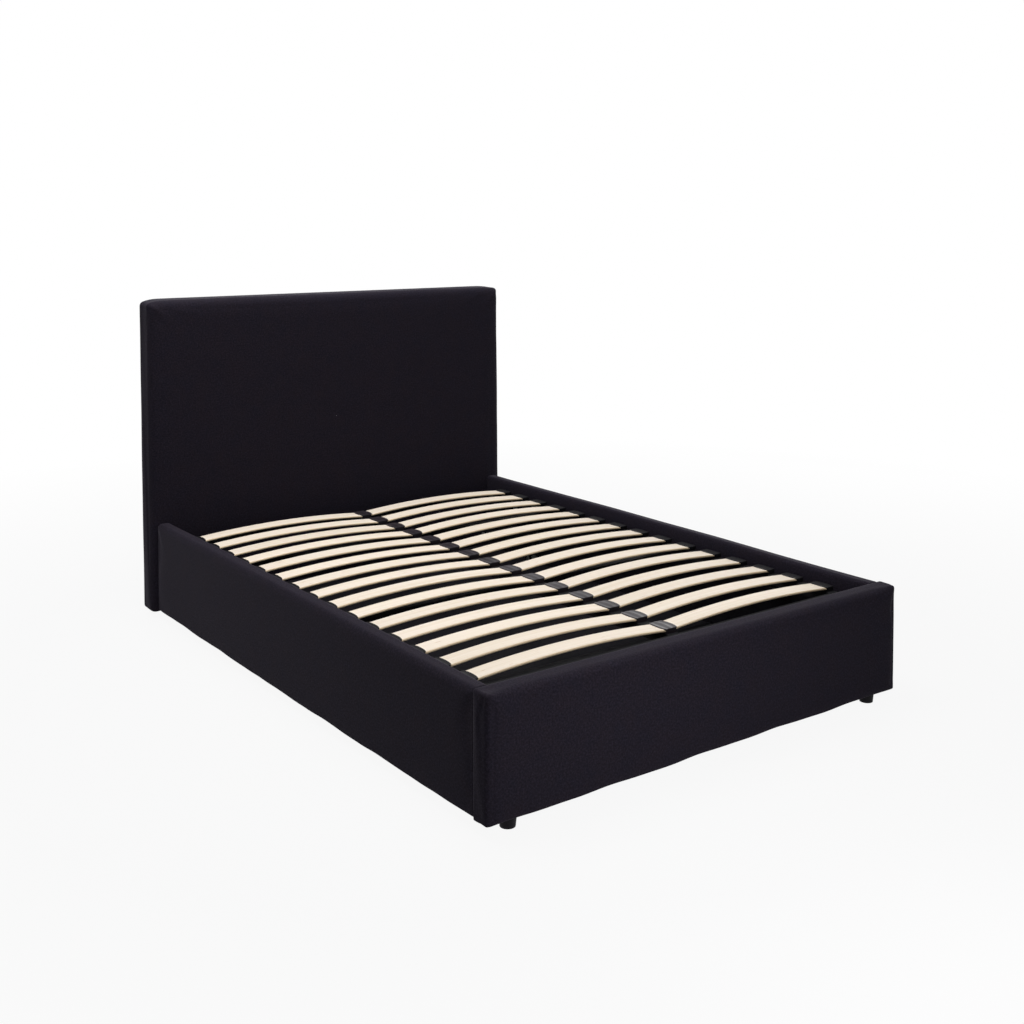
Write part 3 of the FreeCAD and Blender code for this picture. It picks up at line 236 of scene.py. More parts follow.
def makeLacqueredBirch():
    # peeled birch veneer pressed into a bow under a flat lacquer: cream faces, long faint grain, tan edges
    material, tree = newMaterial("lacquered_birch_plywood")
    place = addNode(tree, "ShaderNodeTexCoord").outputs["Object"]
    tint = addNode(tree, "ShaderNodeAttribute", {"attribute_name": "tint"}).outputs["Fac"]
    depth = addNode(tree, "ShaderNodeAttribute", {"attribute_name": "ply"}).outputs["Fac"]
    apart = addNode(tree, "ShaderNodeCombineXYZ", {}, {"X": tint, "Z": tint})
    own = addNode(tree, "ShaderNodeVectorMath", {"operation": "MULTIPLY_ADD", 1: (37.0, 0.0, 11.0)},
                  {0: apart.outputs[0], 2: place})  # each slat is cut from another part of the grain
    along = addNode(tree, "ShaderNodeMapping",
                    {"Scale": (1 / birch["grainLength"], 1 / birch["grainWidth"], 40.0)},
                    {"Vector": own.outputs[0]})
    grain = addNode(tree, "ShaderNodeTexNoise",
                    {"Scale": 0.35, "Detail": 5.0, "Roughness": 0.62, "Distortion": 0.4},
                    {"Vector": along.outputs[0]})
    face = ramp(tree, grain.outputs["Fac"],
                [(0.28, birch["dark"]), (0.46, birch["mid"]), (0.66, birch["pale"])])
    marks = addNode(tree, "ShaderNodeMapping", {"Scale": (24.0, 210.0, 60.0)},
                    {"Vector": own.outputs[0]})  # pith flecks 5 mm wide and 40 mm long
    spots = addNode(tree, "ShaderNodeTexNoise", {"Scale": 1.0, "Detail": 2.0}, {"Vector": marks.outputs[0]})
    flecks = addNode(tree, "ShaderNodeMapRange",
                     {"From Min": 0.69, "From Max": 0.77, "To Max": birch["fleckShare"]},
                     {"Value": spots.outputs["Fac"]})
    marked = addNode(tree, "ShaderNodeMix", {"data_type": "RGBA", 7: linear(birch["fleck"])},
                     {0: flecks.outputs[0], 6: face})
    tone = addNode(tree, "ShaderNodeMapRange",
                   {"To Min": birch["toneRange"][0], "To Max": birch["toneRange"][1]}, {"Value": tint})
    toned = addNode(tree, "ShaderNodeVectorMath", {"operation": "SCALE"},
                    {0: marked.outputs[2], "Scale": tone.outputs[0]})
    lines = addNode(tree, "ShaderNodeMath", {"operation": "MULTIPLY", 1: 2 * math.pi * birch["veneers"]},
                    {0: depth})
    bands = addNode(tree, "ShaderNodeMath", {"operation": "COSINE"}, {0: lines.outputs[0]})
    glue = addNode(tree, "ShaderNodeMapRange",
                   {"From Min": 0.2, "From Max": 1.0, "To Max": birch["plyLineShare"]},
                   {"Value": bands.outputs[0]})
    inside = addNode(tree, "ShaderNodeMath", {"operation": "PINGPONG", 1: 0.5}, {0: depth})
    edge = addNode(tree, "ShaderNodeMapRange", {"From Min": 0.04, "From Max": 0.14},
                   {"Value": inside.outputs[0]})
    seen = addNode(tree, "ShaderNodeMath", {"operation": "MULTIPLY"},
                   {0: glue.outputs[0], 1: edge.outputs[0]})
    soft = addNode(tree, "ShaderNodeMath", {"operation": "MULTIPLY", 1: birch["plyEdgeShare"]},
                   {0: edge.outputs[0]})
    sawn = addNode(tree, "ShaderNodeMix", {"data_type": "RGBA", 7: linear(birch["plyEdge"])},
                   {0: soft.outputs[0], 6: toned.outputs[0]})
    laid = addNode(tree, "ShaderNodeMix", {"data_type": "RGBA", 7: linear(birch["plyLine"])},
                   {0: seen.outputs[0], 6: sawn.outputs[2]})
    settings = {"Roughness": birch["roughness"], "IOR": 1.5, "Specular IOR Level": birch["shine"]}
    closeMaterial(tree, settings, {"Base Color": laid.outputs[2]}, (grain.outputs["Fac"], 0.25, 0.0003))
    return material


finishes = {  # name, dark and pale colour, pattern size in metres, roughness, metallic, shine, bump in metres
    # moulded polypropylene with a fine spark-eroded grain: dull grey-black
    "black_plastic": ("moulded_polypropylene", "#0d0c0f", "#151417", 0.0020, 0.58, 0.0, 0.1, 0.00008),
    # the same plastic on the centre sockets with a satin roughness, greyer as a painted highlight where they
    # catch the light
    "painted_highlight_plastic": ("polypropylene_painted_highlight", "#1e1a1e", "#2c262b", 0.0020, 0.44, 0.0, 0.2, 0.00008),
    # epoxy powder coat on steel: even black skin with orange peel
    "black_steel": ("powder_coated_steel", "#101012", "#19191b", 0.0045, 0.74, 0.0, 0.1, 0.00015),
    # bright zinc plate: pale grey with cloudy grain
    "zinc_steel": ("zinc_plated_steel", "#a9aba9", "#cfd0cb", 0.0060, 0.36, 1.0, 0.5, 0.00005),
    # ground and hard-chromed rod: mirror with a faint haze
    "chrome_rod": ("hard_chromed_steel", "#c9cbcd", "#dcdddf", 0.0030, 0.10, 1.0, 0.5, 0.00001),
    # moulded natural rubber: dull black with a dusty bloom
    "buffer_rubber": ("moulded_rubber", "#161617", "#242425", 0.0050, 0.78, 0.0, 0.1, 0.00015),
    # hardboard and chipboard lined with black paper: flat, faintly fibrous
    "lined_board": ("black_lined_board", "#17161a", "#222025", 0.0080, 0.72, 0.0, 0.1, 0.00010),
    # spun-bonded dust cloth: matt black felt of fine fibres
    "back_lining": ("spunbond_dust_cloth", "#161518", "#2a282c", 0.0030, 0.92, 0.0, 0.1, 0.00030),
    # sawn and planed softwood: straw colour with darker late-wood lines along x
    "core_timber": ("planed_softwood", "#b98e5b", "#dbb988", 0.0060, 0.62, 0.0, 0.1, 0.00020),
}


def makePlainFinish(slotName):
    # fine noise over broad noise for the colour, the broad one also for patches of gloss
    name, dark, pale, size, rough, metal, shine, depth = finishes[slotName]
    material, tree = newMaterial(name)
    place = addNode(tree, "ShaderNodeTexCoord").outputs["Object"]
    stretch = (0.04, 1.0, 1.0) if slotName == "core_timber" else (1.0, 1.0, 1.0)
    laid = addNode(tree, "ShaderNodeMapping", {"Scale": stretch}, {"Vector": place})
    fine = addNode(tree, "ShaderNodeTexNoise", {"Scale": 1 / size, "Detail": 3.0, "Roughness": 0.6},
                   {"Vector": laid.outputs[0]})
    broad = addNode(tree, "ShaderNodeTexNoise", {"Scale": 0.06 / size, "Detail": 2.0},
                    {"Vector": laid.outputs[0]})
    both = addNode(tree, "ShaderNodeMath", {"operation": "MULTIPLY_ADD", 1: 0.45},
                   {0: broad.outputs["Fac"], 2: fine.outputs["Fac"]})
    colour = ramp(tree, both.outputs[0], [(0.5, dark), (0.95, pale)])
    gloss = addNode(tree, "ShaderNodeMapRange",
                    {"From Min": 0.3, "From Max": 0.7, "To Min": rough * 0.88,
                     "To Max": min(1.0, rough * 1.12)}, {"Value": broad.outputs["Fac"]})
    closeMaterial(tree, {"Metallic": metal, "IOR": 1.5, "Specular IOR Level": shine},
                  {"Base Color": colour, "Roughness": gloss.outputs[0]}, (fine.outputs["Fac"], 0.5, depth))
    return material


woven = makeWovenPolyester()
slatWood = makeLacqueredBirch()
plain = {slotName: makePlainFinish(slotName) for slotName in finishes}
print("materials made:", len(plain) + 2)


# padded covers: foam under cloth, swollen a little by a cloth simulation

headboardPad = {
    "low": (-0.743, 0.9495, 0.030), "high": (0.743, 1.0425, 1.1150),
    "roll": 0.034, "rollDepth": 0.026, "hemRoll": 0.014, "hemDepth": 0.006, "corner": 0.011,
    "cornerDrop": (0.012, 0.005), "dropReach": 0.062, "dropOver": (0.8, 1.0),  # left and right corner
    "fine": 0.0055, "coarse": 0.016, "margin": 0.045,
    "swell": 0.003, "stapledBack": 0.0065, "stapledHem": 0.004,
}
footboardPad = {
    "low": (-0.729, -1.0445, 0.030), "high": (0.729, -0.9865, 0.3360),
    "frontRound": 0.023, "frontRoundAtEnds": 0.012, "pullReach": 0.09,
    "uprightRound": 0.012, "endRound": 0.008, "backRound": 0.006, "hemRound": 0.004,
    "fine": 0.0036, "coarse": 0.013, "margin": 0.03,
    "swell": 0.004, "stapledBack": 0.0035, "stapledHem": 0.003,
}
railPad = {
    "outer": 0.725, "inner": 0.681, "top": 0.334, "low": 0.030, "foot": -0.9865, "head": 0.9495,
    "boardOut": 0.713, "boardIn": 0.683, "boardTop": 0.322, "turnIn": 0.060,
    "outRound": 0.014, "inRound": 0.010, "hemRound": 0.005, "endRound": 0.004, "endShare": 0.8,
    "faceLow": 0.017, "faceHigh": 0.010, "ridge": (0.701, 0.696), "flapHigh": 0.020,
    "flapStep": 0.300, "ridgeStep": 0.698, "faceSteps": (0.25, 0.15),  # points on the board side
    "roundFrom": 0.700, "roundBelow": 0.012, "fine": 0.003, "step": 0.012, "margin": 0.012,
    "swell": 0.004, "stapledEnds": 0.002,
}
swelling = {
    "frames": 20, "quality": 4, "mass": 0.35, "stretch": 18, "bending": 2.5, "pressure": 0.8,
    "inward": 0.2, "sideways": 0.5,  # shares that are kept, since the tight hem and corners hardly give
}


def spread(low, high, fine, coarse, margin):  # closer together near both ends
    steps = max(2, round((high - low - 2 * margin) / coarse))
    middle = np.linspace(low + margin, high - margin, steps + 1)
    side = np.linspace(0, margin, max(2, round(margin / fine)) + 1)[:-1]
    return np.concatenate([low + side, middle, (high - side)[::-1]])


def boxSkin(low, high, fine, coarse, margin):  # the six faces of a box as grids, doubles merged
    axes = [spread(a, b, fine, coarse, min(margin, 0.4 * (b - a))) for a, b in zip(low, high)]
    sheets, quads, used = [], [], 0
    for k in range(3):
        a, b = [j for j in range(3) if j != k]
        for end in (0, -1):
            first, second = np.meshgrid(axes[a], axes[b], indexing="ij")
            sheet = np.empty(first.shape + (3,))
            sheet[..., a], sheet[..., b], sheet[..., k] = first, second, axes[k][end]
            quads.append(gridFaces(used + np.arange(first.size).reshape(first.shape)))
            sheets.append(sheet.reshape(-1, 3))
            used += first.size
    points = np.concatenate(sheets)
    microns = np.round(points * 1e6).astype(np.int64)
    _, keep, where = np.unique(microns, axis=0, return_index=True, return_inverse=True)
    return points[keep], where.reshape(-1)[np.concatenate(quads)].tolist()


def roundEdge(points, axes, edge, outward, radius):
    # across one box edge: the square inside it, as wide as the radius, is squashed into a quarter disc
    core = np.asarray(edge) - np.asarray(outward) * np.broadcast_to(radius, len(points))[:, None]
    away = np.maximum((points[:, axes] - core) * outward, 0)
    squash = away.max(axis=1) / np.maximum(np.linalg.norm(away, axis=1), 1e-9)
    inside = away.min(axis=1) > 0
    points[:, axes] = np.where(inside[:, None], core + away * squash[:, None] * outward, points[:, axes])


def makeHeadboard():
    pad = headboardPad
    low, high = np.array(pad["low"]), np.array(pad["high"])
    points, faces = boxSkin(low, high, pad["fine"], pad["coarse"], pad["margin"])
    x, y, z = points.T

    def roll(distance, reach, depth):  # quarter ellipse from the face back to the edge
        return depth * (1 - np.sqrt(1 - (1 - np.clip(distance / reach, 0, 1)) ** 2))

    rolled = np.maximum(roll(np.minimum(high[0] - np.abs(x), high[2] - z), pad["roll"], pad["rollDepth"]),
                        roll(z - low[2], pad["hemRoll"], pad["hemDepth"]))
    behind = pad["rollDepth"] + (y - low[1]) * (1 - pad["rollDepth"] / (high[1] - low[1]))
    points[:, 1] = low[1] + np.where(y < low[1] + 1e-6, rolled, behind)
    for side in (-1, 1):
        roundEdge(points, [0, 2], (side * high[0], high[2]), (side, 1), pad["corner"])
        roundEdge(points, [0, 2], (side * high[0], low[2]), (side, -1), pad["corner"])
    near = np.clip((np.abs(points[:, 0]) - (high[0] - pad["dropReach"])) / pad["dropReach"], 0, 1)
    drop = np.where(points[:, 0] < 0, *pad["cornerDrop"])
    points[:, 2] -= drop * near ** 2 * smoothStep(*pad["dropOver"], points[:, 2])  # dips towards the corners
    return makePiece("headboard_cover", points, faces, woven, "bed_base",
                     ["headboard_upholstery"], 0)


def makeFootboard():
    pad = footboardPad
    low, high = np.array(pad["low"]), np.array(pad["high"])
    points, faces = boxSkin(low, high, pad["fine"], pad["coarse"], pad["margin"])
    pulled = smoothStep(high[0] - pad["pullReach"], high[0], np.abs(points[:, 0]))  # tight at the ends
    frontRound = pad["frontRound"] + (pad["frontRoundAtEnds"] - pad["frontRound"]) * pulled
    roundEdge(points, [1, 2], (low[1], high[2]), (-1, 1), frontRound)
    roundEdge(points, [1, 2], (high[1], high[2]), (1, 1), pad["backRound"])
    roundEdge(points, [1, 2], (low[1], low[2]), (-1, -1), pad["hemRound"])
    for side in (-1, 1):
        roundEdge(points, [0, 1], (side * high[0], low[1]), (side, -1), pad["uprightRound"])
        roundEdge(points, [0, 1], (side * high[0], high[1]), (side, 1), pad["backRound"])
        roundEdge(points, [0, 2], (side * high[0], high[2]), (side, 1), pad["endRound"])
        roundEdge(points, [0, 2], (side * high[0], low[2]), (side, -1), pad["hemRound"])
    return makePiece("footboard_cover", points, faces, woven, "bed_base",
                     ["footboard_upholstery"], 0)


def quarterArc(x, z, radius, start, count):  # a quarter circle about x, z from a start in quarter turns
    turn = np.linspace(start, start + 1, count) * math.pi / 2
    return np.stack([x + radius * np.cos(turn), z + radius * np.sin(turn)], axis=1)


def railProfile():
    # hook-shaped: outer face, rounded top, turned-in flap, back along the board; and how many points are free
    pad = railPad
    outer, inner, top, low = pad["outer"], pad["inner"], pad["top"], pad["low"]
    hem, out, turned = pad["hemRound"], pad["outRound"], pad["inRound"]
    flapEnd = top - pad["turnIn"]
    outside = [quarterArc(outer - hem, low + hem, hem, -1, 4),
               np.linspace((outer, low + pad["faceLow"]), (outer, top - out - pad["faceHigh"]), 22),
               quarterArc(outer - out, top - out, out, 0, 6),
               [(x, top) for x in pad["ridge"]],
               quarterArc(inner + turned, top - turned, turned, 1, 6),
               np.linspace((inner, top - pad["flapHigh"]), (inner, flapEnd), 5)]
    boardIn, boardOut, boardTop = pad["boardIn"], pad["boardOut"], pad["boardTop"]
    inside = [(boardIn, z) for z in (flapEnd, pad["flapStep"], boardTop)] + [(pad["ridgeStep"], boardTop)]
    inside += [(boardOut, z) for z in (boardTop, *pad["faceSteps"], low)]
    return np.concatenate(outside + [inside]), sum(len(part) for part in outside)


railRing, railFree = railProfile()


def makeRail(side, name, stands):
    # the profile carried along the rail, with both ends closed by a small round
    pad = railPad
    along = spread(pad["foot"], pad["head"], pad["fine"], pad["step"], pad["margin"])
    points = np.empty((1, len(along), len(railRing), 3))
    points[..., 0] = railRing[:, 0]
    points[..., 1] = along[:, None]
    points[..., 2] = railRing[:, 1]
    near = np.minimum(along - pad["foot"], pad["head"] - along)
    flat = np.maximum(0, pad["endRound"] - near)
    ease = pad["endRound"] - np.sqrt(np.maximum(0, pad["endRound"] ** 2 - flat ** 2))
    free = np.arange(len(railRing)) < railFree
    outward = smoothStep(pad["roundFrom"], pad["outer"], railRing[:, 0]) * free
    upward = smoothStep(pad["top"] - pad["roundBelow"], pad["top"], railRing[:, 1]) * free
    points[0, ..., 0] -= ease[:, None] * outward * pad["endShare"]
    points[0, ..., 2] -= ease[:, None] * upward * pad["endShare"]
    points[..., 0] *= side
    faces = sweepFaces(1, len(along), len(railRing))
    return makePiece(name, points, faces, woven, "bed_base", [stands], 0)


def pinFor(piece, hold):  # held where the cloth is stapled or lies against the board
    group = piece.vertex_groups.new(name="held")
    group.add(np.nonzero(hold)[0].tolist(), 1.0, "REPLACE")


def swell(pieces, caps):
    # pressure swells each cover between its held edges, then every point's way is capped by a tanh curve
    before = [vertexRows(piece.data) for piece in pieces]
    for piece in pieces:
        cloth = piece.modifiers.new("swell", "CLOTH")
        cloth.settings.quality = swelling["quality"]
        cloth.settings.mass = swelling["mass"]
        cloth.settings.tension_stiffness = swelling["stretch"]
        cloth.settings.compression_stiffness = swelling["stretch"]
        cloth.settings.bending_stiffness = swelling["bending"]
        cloth.settings.use_pressure = True
        cloth.settings.uniform_pressure_force = swelling["pressure"]
        cloth.settings.vertex_group_mass = "held"
        cloth.settings.effector_weights.gravity = 0
        cloth.collision_settings.use_collision = False
        cloth.point_cache.frame_start = 1
        cloth.point_cache.frame_end = swelling["frames"]
    for step in range(1, swelling["frames"] + 1):
        scene.frame_set(step)
    graph = bpy.context.evaluated_depsgraph_get()
    after = [vertexRows(piece.evaluated_get(graph).data) for piece in pieces]
    for piece, start, end, cap in zip(pieces, before, after, caps):
        piece.modifiers.remove(piece.modifiers["swell"])
        out = vertexRows(piece.data, "normal")
        way = end - start
        rise = (way * out).sum(axis=1, keepdims=True)
        kept = np.where(rise > 0, rise, swelling["inward"] * rise)
        way = swelling["sideways"] * (way - rise * out) + kept * out
        length = np.linalg.norm(way, axis=1, keepdims=True)
        way *= cap * np.tanh(length / cap) / np.maximum(length, 1e-9)
        moveTo(piece, start + way)
        mean = round(float(length.mean()) * 1000, 2)
        print("swollen", piece.name, "by a mean of", mean, "mm before the cap")
    scene.frame_set(1)


headboard = makeHeadboard()
footboard = makeFootboard()
leftRail = makeRail(-1, "left_rail_cover", "left_rail_upholstery")
rightRail = makeRail(1, "right_rail_cover", "right_rail_upholstery")
covers = [headboard, footboard, leftRail, rightRail]

for board, pad in ((headboard, headboardPad), (footboard, footboardPad)):
    _, y, z = vertexRows(board.data).T
    pinFor(board, (y > pad["high"][1] - pad["stapledBack"]) | (z < pad["low"][2] + pad["stapledHem"]))
for rail in (leftRail, rightRail):
    order = np.arange(len(rail.data.vertices)) % len(railRing)
    y = vertexRows(rail.data)[:, 1]
    ends = np.minimum(y - railPad["foot"], railPad["head"] - y) < railPad["stapledEnds"]
    pinFor(rail, (order >= railFree - 1) | (order == 0) | ends)
swell(covers, [pad["swell"] for pad in (headboardPad, footboardPad, railPad, railPad)])

headboardCloth = {  # a pair is where an effect starts and where it is full
    "front": (1.03, 1.00), "wave": 0.0010, "edge": (0.72, 0.742), "edgeWave": 0.0012, "side": (0.700, 0.738),
    "pleat": 0.0030, "pleatWide": 0.006, "pleatSlope": 0.30, "pleatStart": 0.004, "pleatReach": (0.14, 0.02),
    "fold": 0.0016, "foldWide": 0.009, "foldBefore": 0.012,
    "fuller": 0.003, "fullerLow": 0.008, "lowSide": (1.05, 0.40), "aboveHem": (0.04, 0.25),
    "offBack": (1.040, 0.995),
    "hem": (0.11, 0.03), "hemWave": 0.0022, "hemDrop": 0.010, "dropSide": (-0.64, -0.74),
}
footboardCloth = {
    "front": (-1.020, -1.040), "wave": 0.0008, "crease": 0.0010, "creaseWide": 0.006, "creaseHeight": 0.150,
    "creaseBend": 0.02, "creaseFrom": (-0.62, -0.45), "creaseTo": (-0.05, -0.25), "end": (0.708, 0.725),
    "pleat": 0.0020, "pleatWide": 0.005, "pleatSlope": 0.25, "pleatStart": 0.012, "pleatReach": (0.10, 0.01),
    "hem": (0.075, 0.03), "hemWave": 0.0026,
}
railCloth = {  # waveFrom, waveBefore and hemPoints count points of the profile
    "wave": 0.0007, "waveFrom": 3, "waveBefore": 6, "hem": (0.09, 0.03), "hemPoints": 6, "hemWave": 0.0018,
    "sag": 0.005, "fuller": 0.004, "top": (0.300, 0.332), "halfLength": 0.99,
}


def dent(distance, width):  # bell curve across a pleat or crease
    return np.exp(-(distance / width) ** 2)


def finishHeadboard():
    # after the swelling: slow waves, a pleat from each corner, a fuller right edge, an uneven hem
    cloth = headboardCloth
    x, y, z = vertexRows(headboard.data).T
    lift = cloth["wave"] * waver(x, z, 3) * smoothStep(*cloth["front"], y)
    fromTop = headboardPad["high"][2] - z
    offPleat = (y - headboardPad["low"][1]) - cloth["pleatSlope"] * fromTop - cloth["pleatStart"]
    reach = smoothStep(*cloth["pleatReach"], fromTop)
    for side in (-1, 1):
        onSide = smoothStep(*cloth["side"], side * x)
        lift -= cloth["pleat"] * onSide * dent(offPleat, cloth["pleatWide"]) * reach
        lift += cloth["fold"] * onSide * dent(offPleat + cloth["foldBefore"], cloth["foldWide"]) * reach
    lift += cloth["edgeWave"] * smoothStep(*cloth["edge"], np.abs(x)) * waver(z, y * 3, 8)
    moveAlongNormals(headboard, lift)
    spot = vertexRows(headboard.data)
    x, y, z = spot.T.copy()
    fuller = cloth["fuller"] + cloth["fullerLow"] * smoothStep(*cloth["lowSide"], z)
    fuller *= smoothStep(*cloth["aboveHem"], z) * smoothStep(*cloth["offBack"], y)
    spot[:, 0] += fuller * smoothStep(*cloth["side"], x)
    wave = cloth["hemWave"] * waver(spot[:, 0] * 1.6, y * 4, 5)
    drop = cloth["hemDrop"] * smoothStep(*cloth["dropSide"], spot[:, 0])  # hangs lowest at the left corner
    spot[:, 2] += (wave - drop) * smoothStep(*cloth["hem"], z)
    moveTo(headboard, spot)


def finishFootboard():
    # slow waves, a faint lying crease left of the middle, a pleat at each end, an uneven hem
    cloth = footboardCloth
    x, y, z = vertexRows(footboard.data).T
    front = smoothStep(*cloth["front"], y)
    lift = cloth["wave"] * waver(x * 1.2, z, 11) * front
    offCrease = (z - cloth["creaseHeight"]) - cloth["creaseBend"] * np.sin(7 * x)
    along = smoothStep(*cloth["creaseFrom"], x) * smoothStep(*cloth["creaseTo"], x)
    lift -= cloth["crease"] * front * dent(offCrease, cloth["creaseWide"]) * along
    fromTop = footboardPad["high"][2] - z
    offPleat = (y - footboardPad["low"][1]) - cloth["pleatStart"] - cloth["pleatSlope"] * fromTop
    reach = smoothStep(*cloth["pleatReach"], fromTop)
    for side in (-1, 1):
        onEnd = smoothStep(*cloth["end"], side * x)
        lift -= cloth["pleat"] * onEnd * dent(offPleat, cloth["pleatWide"]) * reach
    moveAlongNormals(footboard, lift)
    spot = vertexRows(footboard.data)
    wave = cloth["hemWave"] * waver(spot[:, 0] * 2.2, spot[:, 1] * 6, 17)
    spot[:, 2] += wave * smoothStep(*cloth["hem"], spot[:, 2])
    moveTo(footboard, spot)


def finishRail(rail, seed):
    # slow waves on the face, and towards the middle a hem that sags and a top that is fuller
    cloth = railCloth
    x, y, z = vertexRows(rail.data).T
    order = np.arange(len(x)) % len(railRing)
    face = (order >= cloth["waveFrom"]) & (order < railFree - cloth["waveBefore"])
    moveAlongNormals(rail, np.where(face, cloth["wave"] * waver(y, z + np.abs(x), seed), 0))
    spot = vertexRows(rail.data)
    y = spot[:, 1]
    hem = (order < cloth["hemPoints"]) * smoothStep(*cloth["hem"], spot[:, 2])
    middle = 1 - (y / cloth["halfLength"]) ** 2
    spot[:, 2] += (cloth["hemWave"] * waver(y * 1.8, y * 0.2, seed + 4) - cloth["sag"] * middle) * hem
    spot[:, 2] += cloth["fuller"] * middle * smoothStep(*cloth["top"], spot[:, 2]) * (order < railFree)
    moveTo(rail, spot)


def clothUv(mesh):  # each face laid flat along the axis it faces most, in metres, so the weave keeps its size
    count = len(mesh.polygons)
    normals = np.empty(count * 3, dtype=np.float32)
    mesh.polygons.foreach_get("normal", normals)
    facing = np.abs(normals.reshape(-1, 3)).argmax(axis=1)
    totals = np.empty(count, dtype=np.int32)
    mesh.polygons.foreach_get("loop_total", totals)
    corner = np.empty(len(mesh.loops), dtype=np.int32)
    mesh.loops.foreach_get("vertex_index", corner)
    places = vertexRows(mesh)[corner]
    side = np.repeat(facing, totals)
    across = np.where(side == 0, places[:, 1], places[:, 0])
    upward = np.where(side == 2, places[:, 1], places[:, 2])
    layer = mesh.uv_layers.new(name="cloth")
    layer.data.foreach_set("uv", np.stack([across, upward], axis=1).astype(np.float32).ravel())


finishHeadboard()
finishFootboard()
finishRail(leftRail, 21)
finishRail(rightRail, 31)
for cover in covers:
    clothUv(cover.data)
    smooth = cover.modifiers.new("smooth", "SUBSURF")
    smooth.levels = smooth.render_levels = 1
    smooth.uv_smooth = "NONE"
print("covers made:", [len(cover.data.polygons) for cover in covers])


# slats: a rounded strip bent into a low bow between its holders

slats = {
    "rows": 15, "firstRow": -0.8375, "lastRow": 0.7865, "inner": 0.004, "outer": 0.655, "under": 0.2925,
    "width": 0.063, "thick": 0.008, "crown": 0.016, "edgeWide": 0.0065, "edgeTall": 0.0039, "stations": 44,
    "endThin": 0.65, "endFrom": 0.985,  # ends are sanded thinner, inside the holders
    "tiltSpread": 0.004, "nudgeSpread": 0.0008, "bowSpread": 0.0006,  # how unlike the slats are
}
slatRows = np.linspace(slats["firstRow"], slats["lastRow"], slats["rows"])


def makeSlats():
    # the strip's profile is a rectangle with round edges, lifted along its length by the bow 1 - t^2
    quarter = np.linspace(0, math.pi / 2, 6)
    halfThick = slats["thick"] / 2
    cornerY = slats["width"] / 2 - slats["edgeWide"] * (1 - np.cos(quarter))
    cornerZ = halfThick - slats["edgeTall"] * (1 - np.sin(quarter))
    ringY = np.concatenate([cornerY, -cornerY[::-1], -cornerY, cornerY[::-1]])
    ringZ = np.concatenate([cornerZ, cornerZ[::-1], -cornerZ, -cornerZ[::-1]])
    t = np.linspace(-1, 1, slats["stations"])
    arch = (1 - t ** 2)[:, None]
    ending = slats["endThin"] + (1 - slats["endThin"]) * smoothStep(1.0, slats["endFrom"], np.abs(t))
    along = (slats["inner"] + slats["outer"]) / 2 + (slats["outer"] - slats["inner"]) / 2 * t
    faces = sweepFaces(2, len(t), len(ringY))
    draw = np.random.default_rng(7)
    for number, row in enumerate(slatRows, 1):
        strips, tints, plies = [], [], []
        for side in (-1, 1):
            tilt = draw.normal(0, slats["tiltSpread"])
            nudge = draw.normal(0, slats["nudgeSpread"])
            crown = slats["crown"] + draw.normal(0, slats["bowSpread"])
            strip = np.empty((len(t), len(ringY), 3))
            strip[..., 0] = side * along[:, None]
            strip[..., 1] = row + nudge * arch + ringY
            bow = (crown + tilt * ringY) * arch
            strip[..., 2] = slats["under"] + halfThick + ringZ * ending[:, None] + bow
            strips.append(strip)
            tints.append(np.full(strip.shape[:2], draw.uniform(0, 1)))
            plies.append(np.broadcast_to(ringZ / slats["thick"] + 0.5, strip.shape[:2]))
        piece = makePiece("slats_%02d" % number, np.stack(strips), faces, slatWood, "lid",
                          ["slat_row_%02d" % number])
        setAttribute(piece, "tint", np.stack(tints))
        setAttribute(piece, "ply", np.stack(plies))


makeSlats()
print("slats made:", slats["rows"] * 2)


# slat holders: moulded sockets with a domed, ribbed top whose lips reach over the slat ends

holders = {
    "low": 0.2900, "lipUnder": 0.3012, "top": 0.3055, "halfLength": 0.0338, "halfWide": 0.0185, "lip": 0.0070,
    "sideIn": 0.6330, "sideOut": 0.6600, "ribs": 2, "ribDepth": 0.0004, "dome": 0.0012, "tongue": 2.6,
    "outlinePoints": 25, "topRings": 24,
}


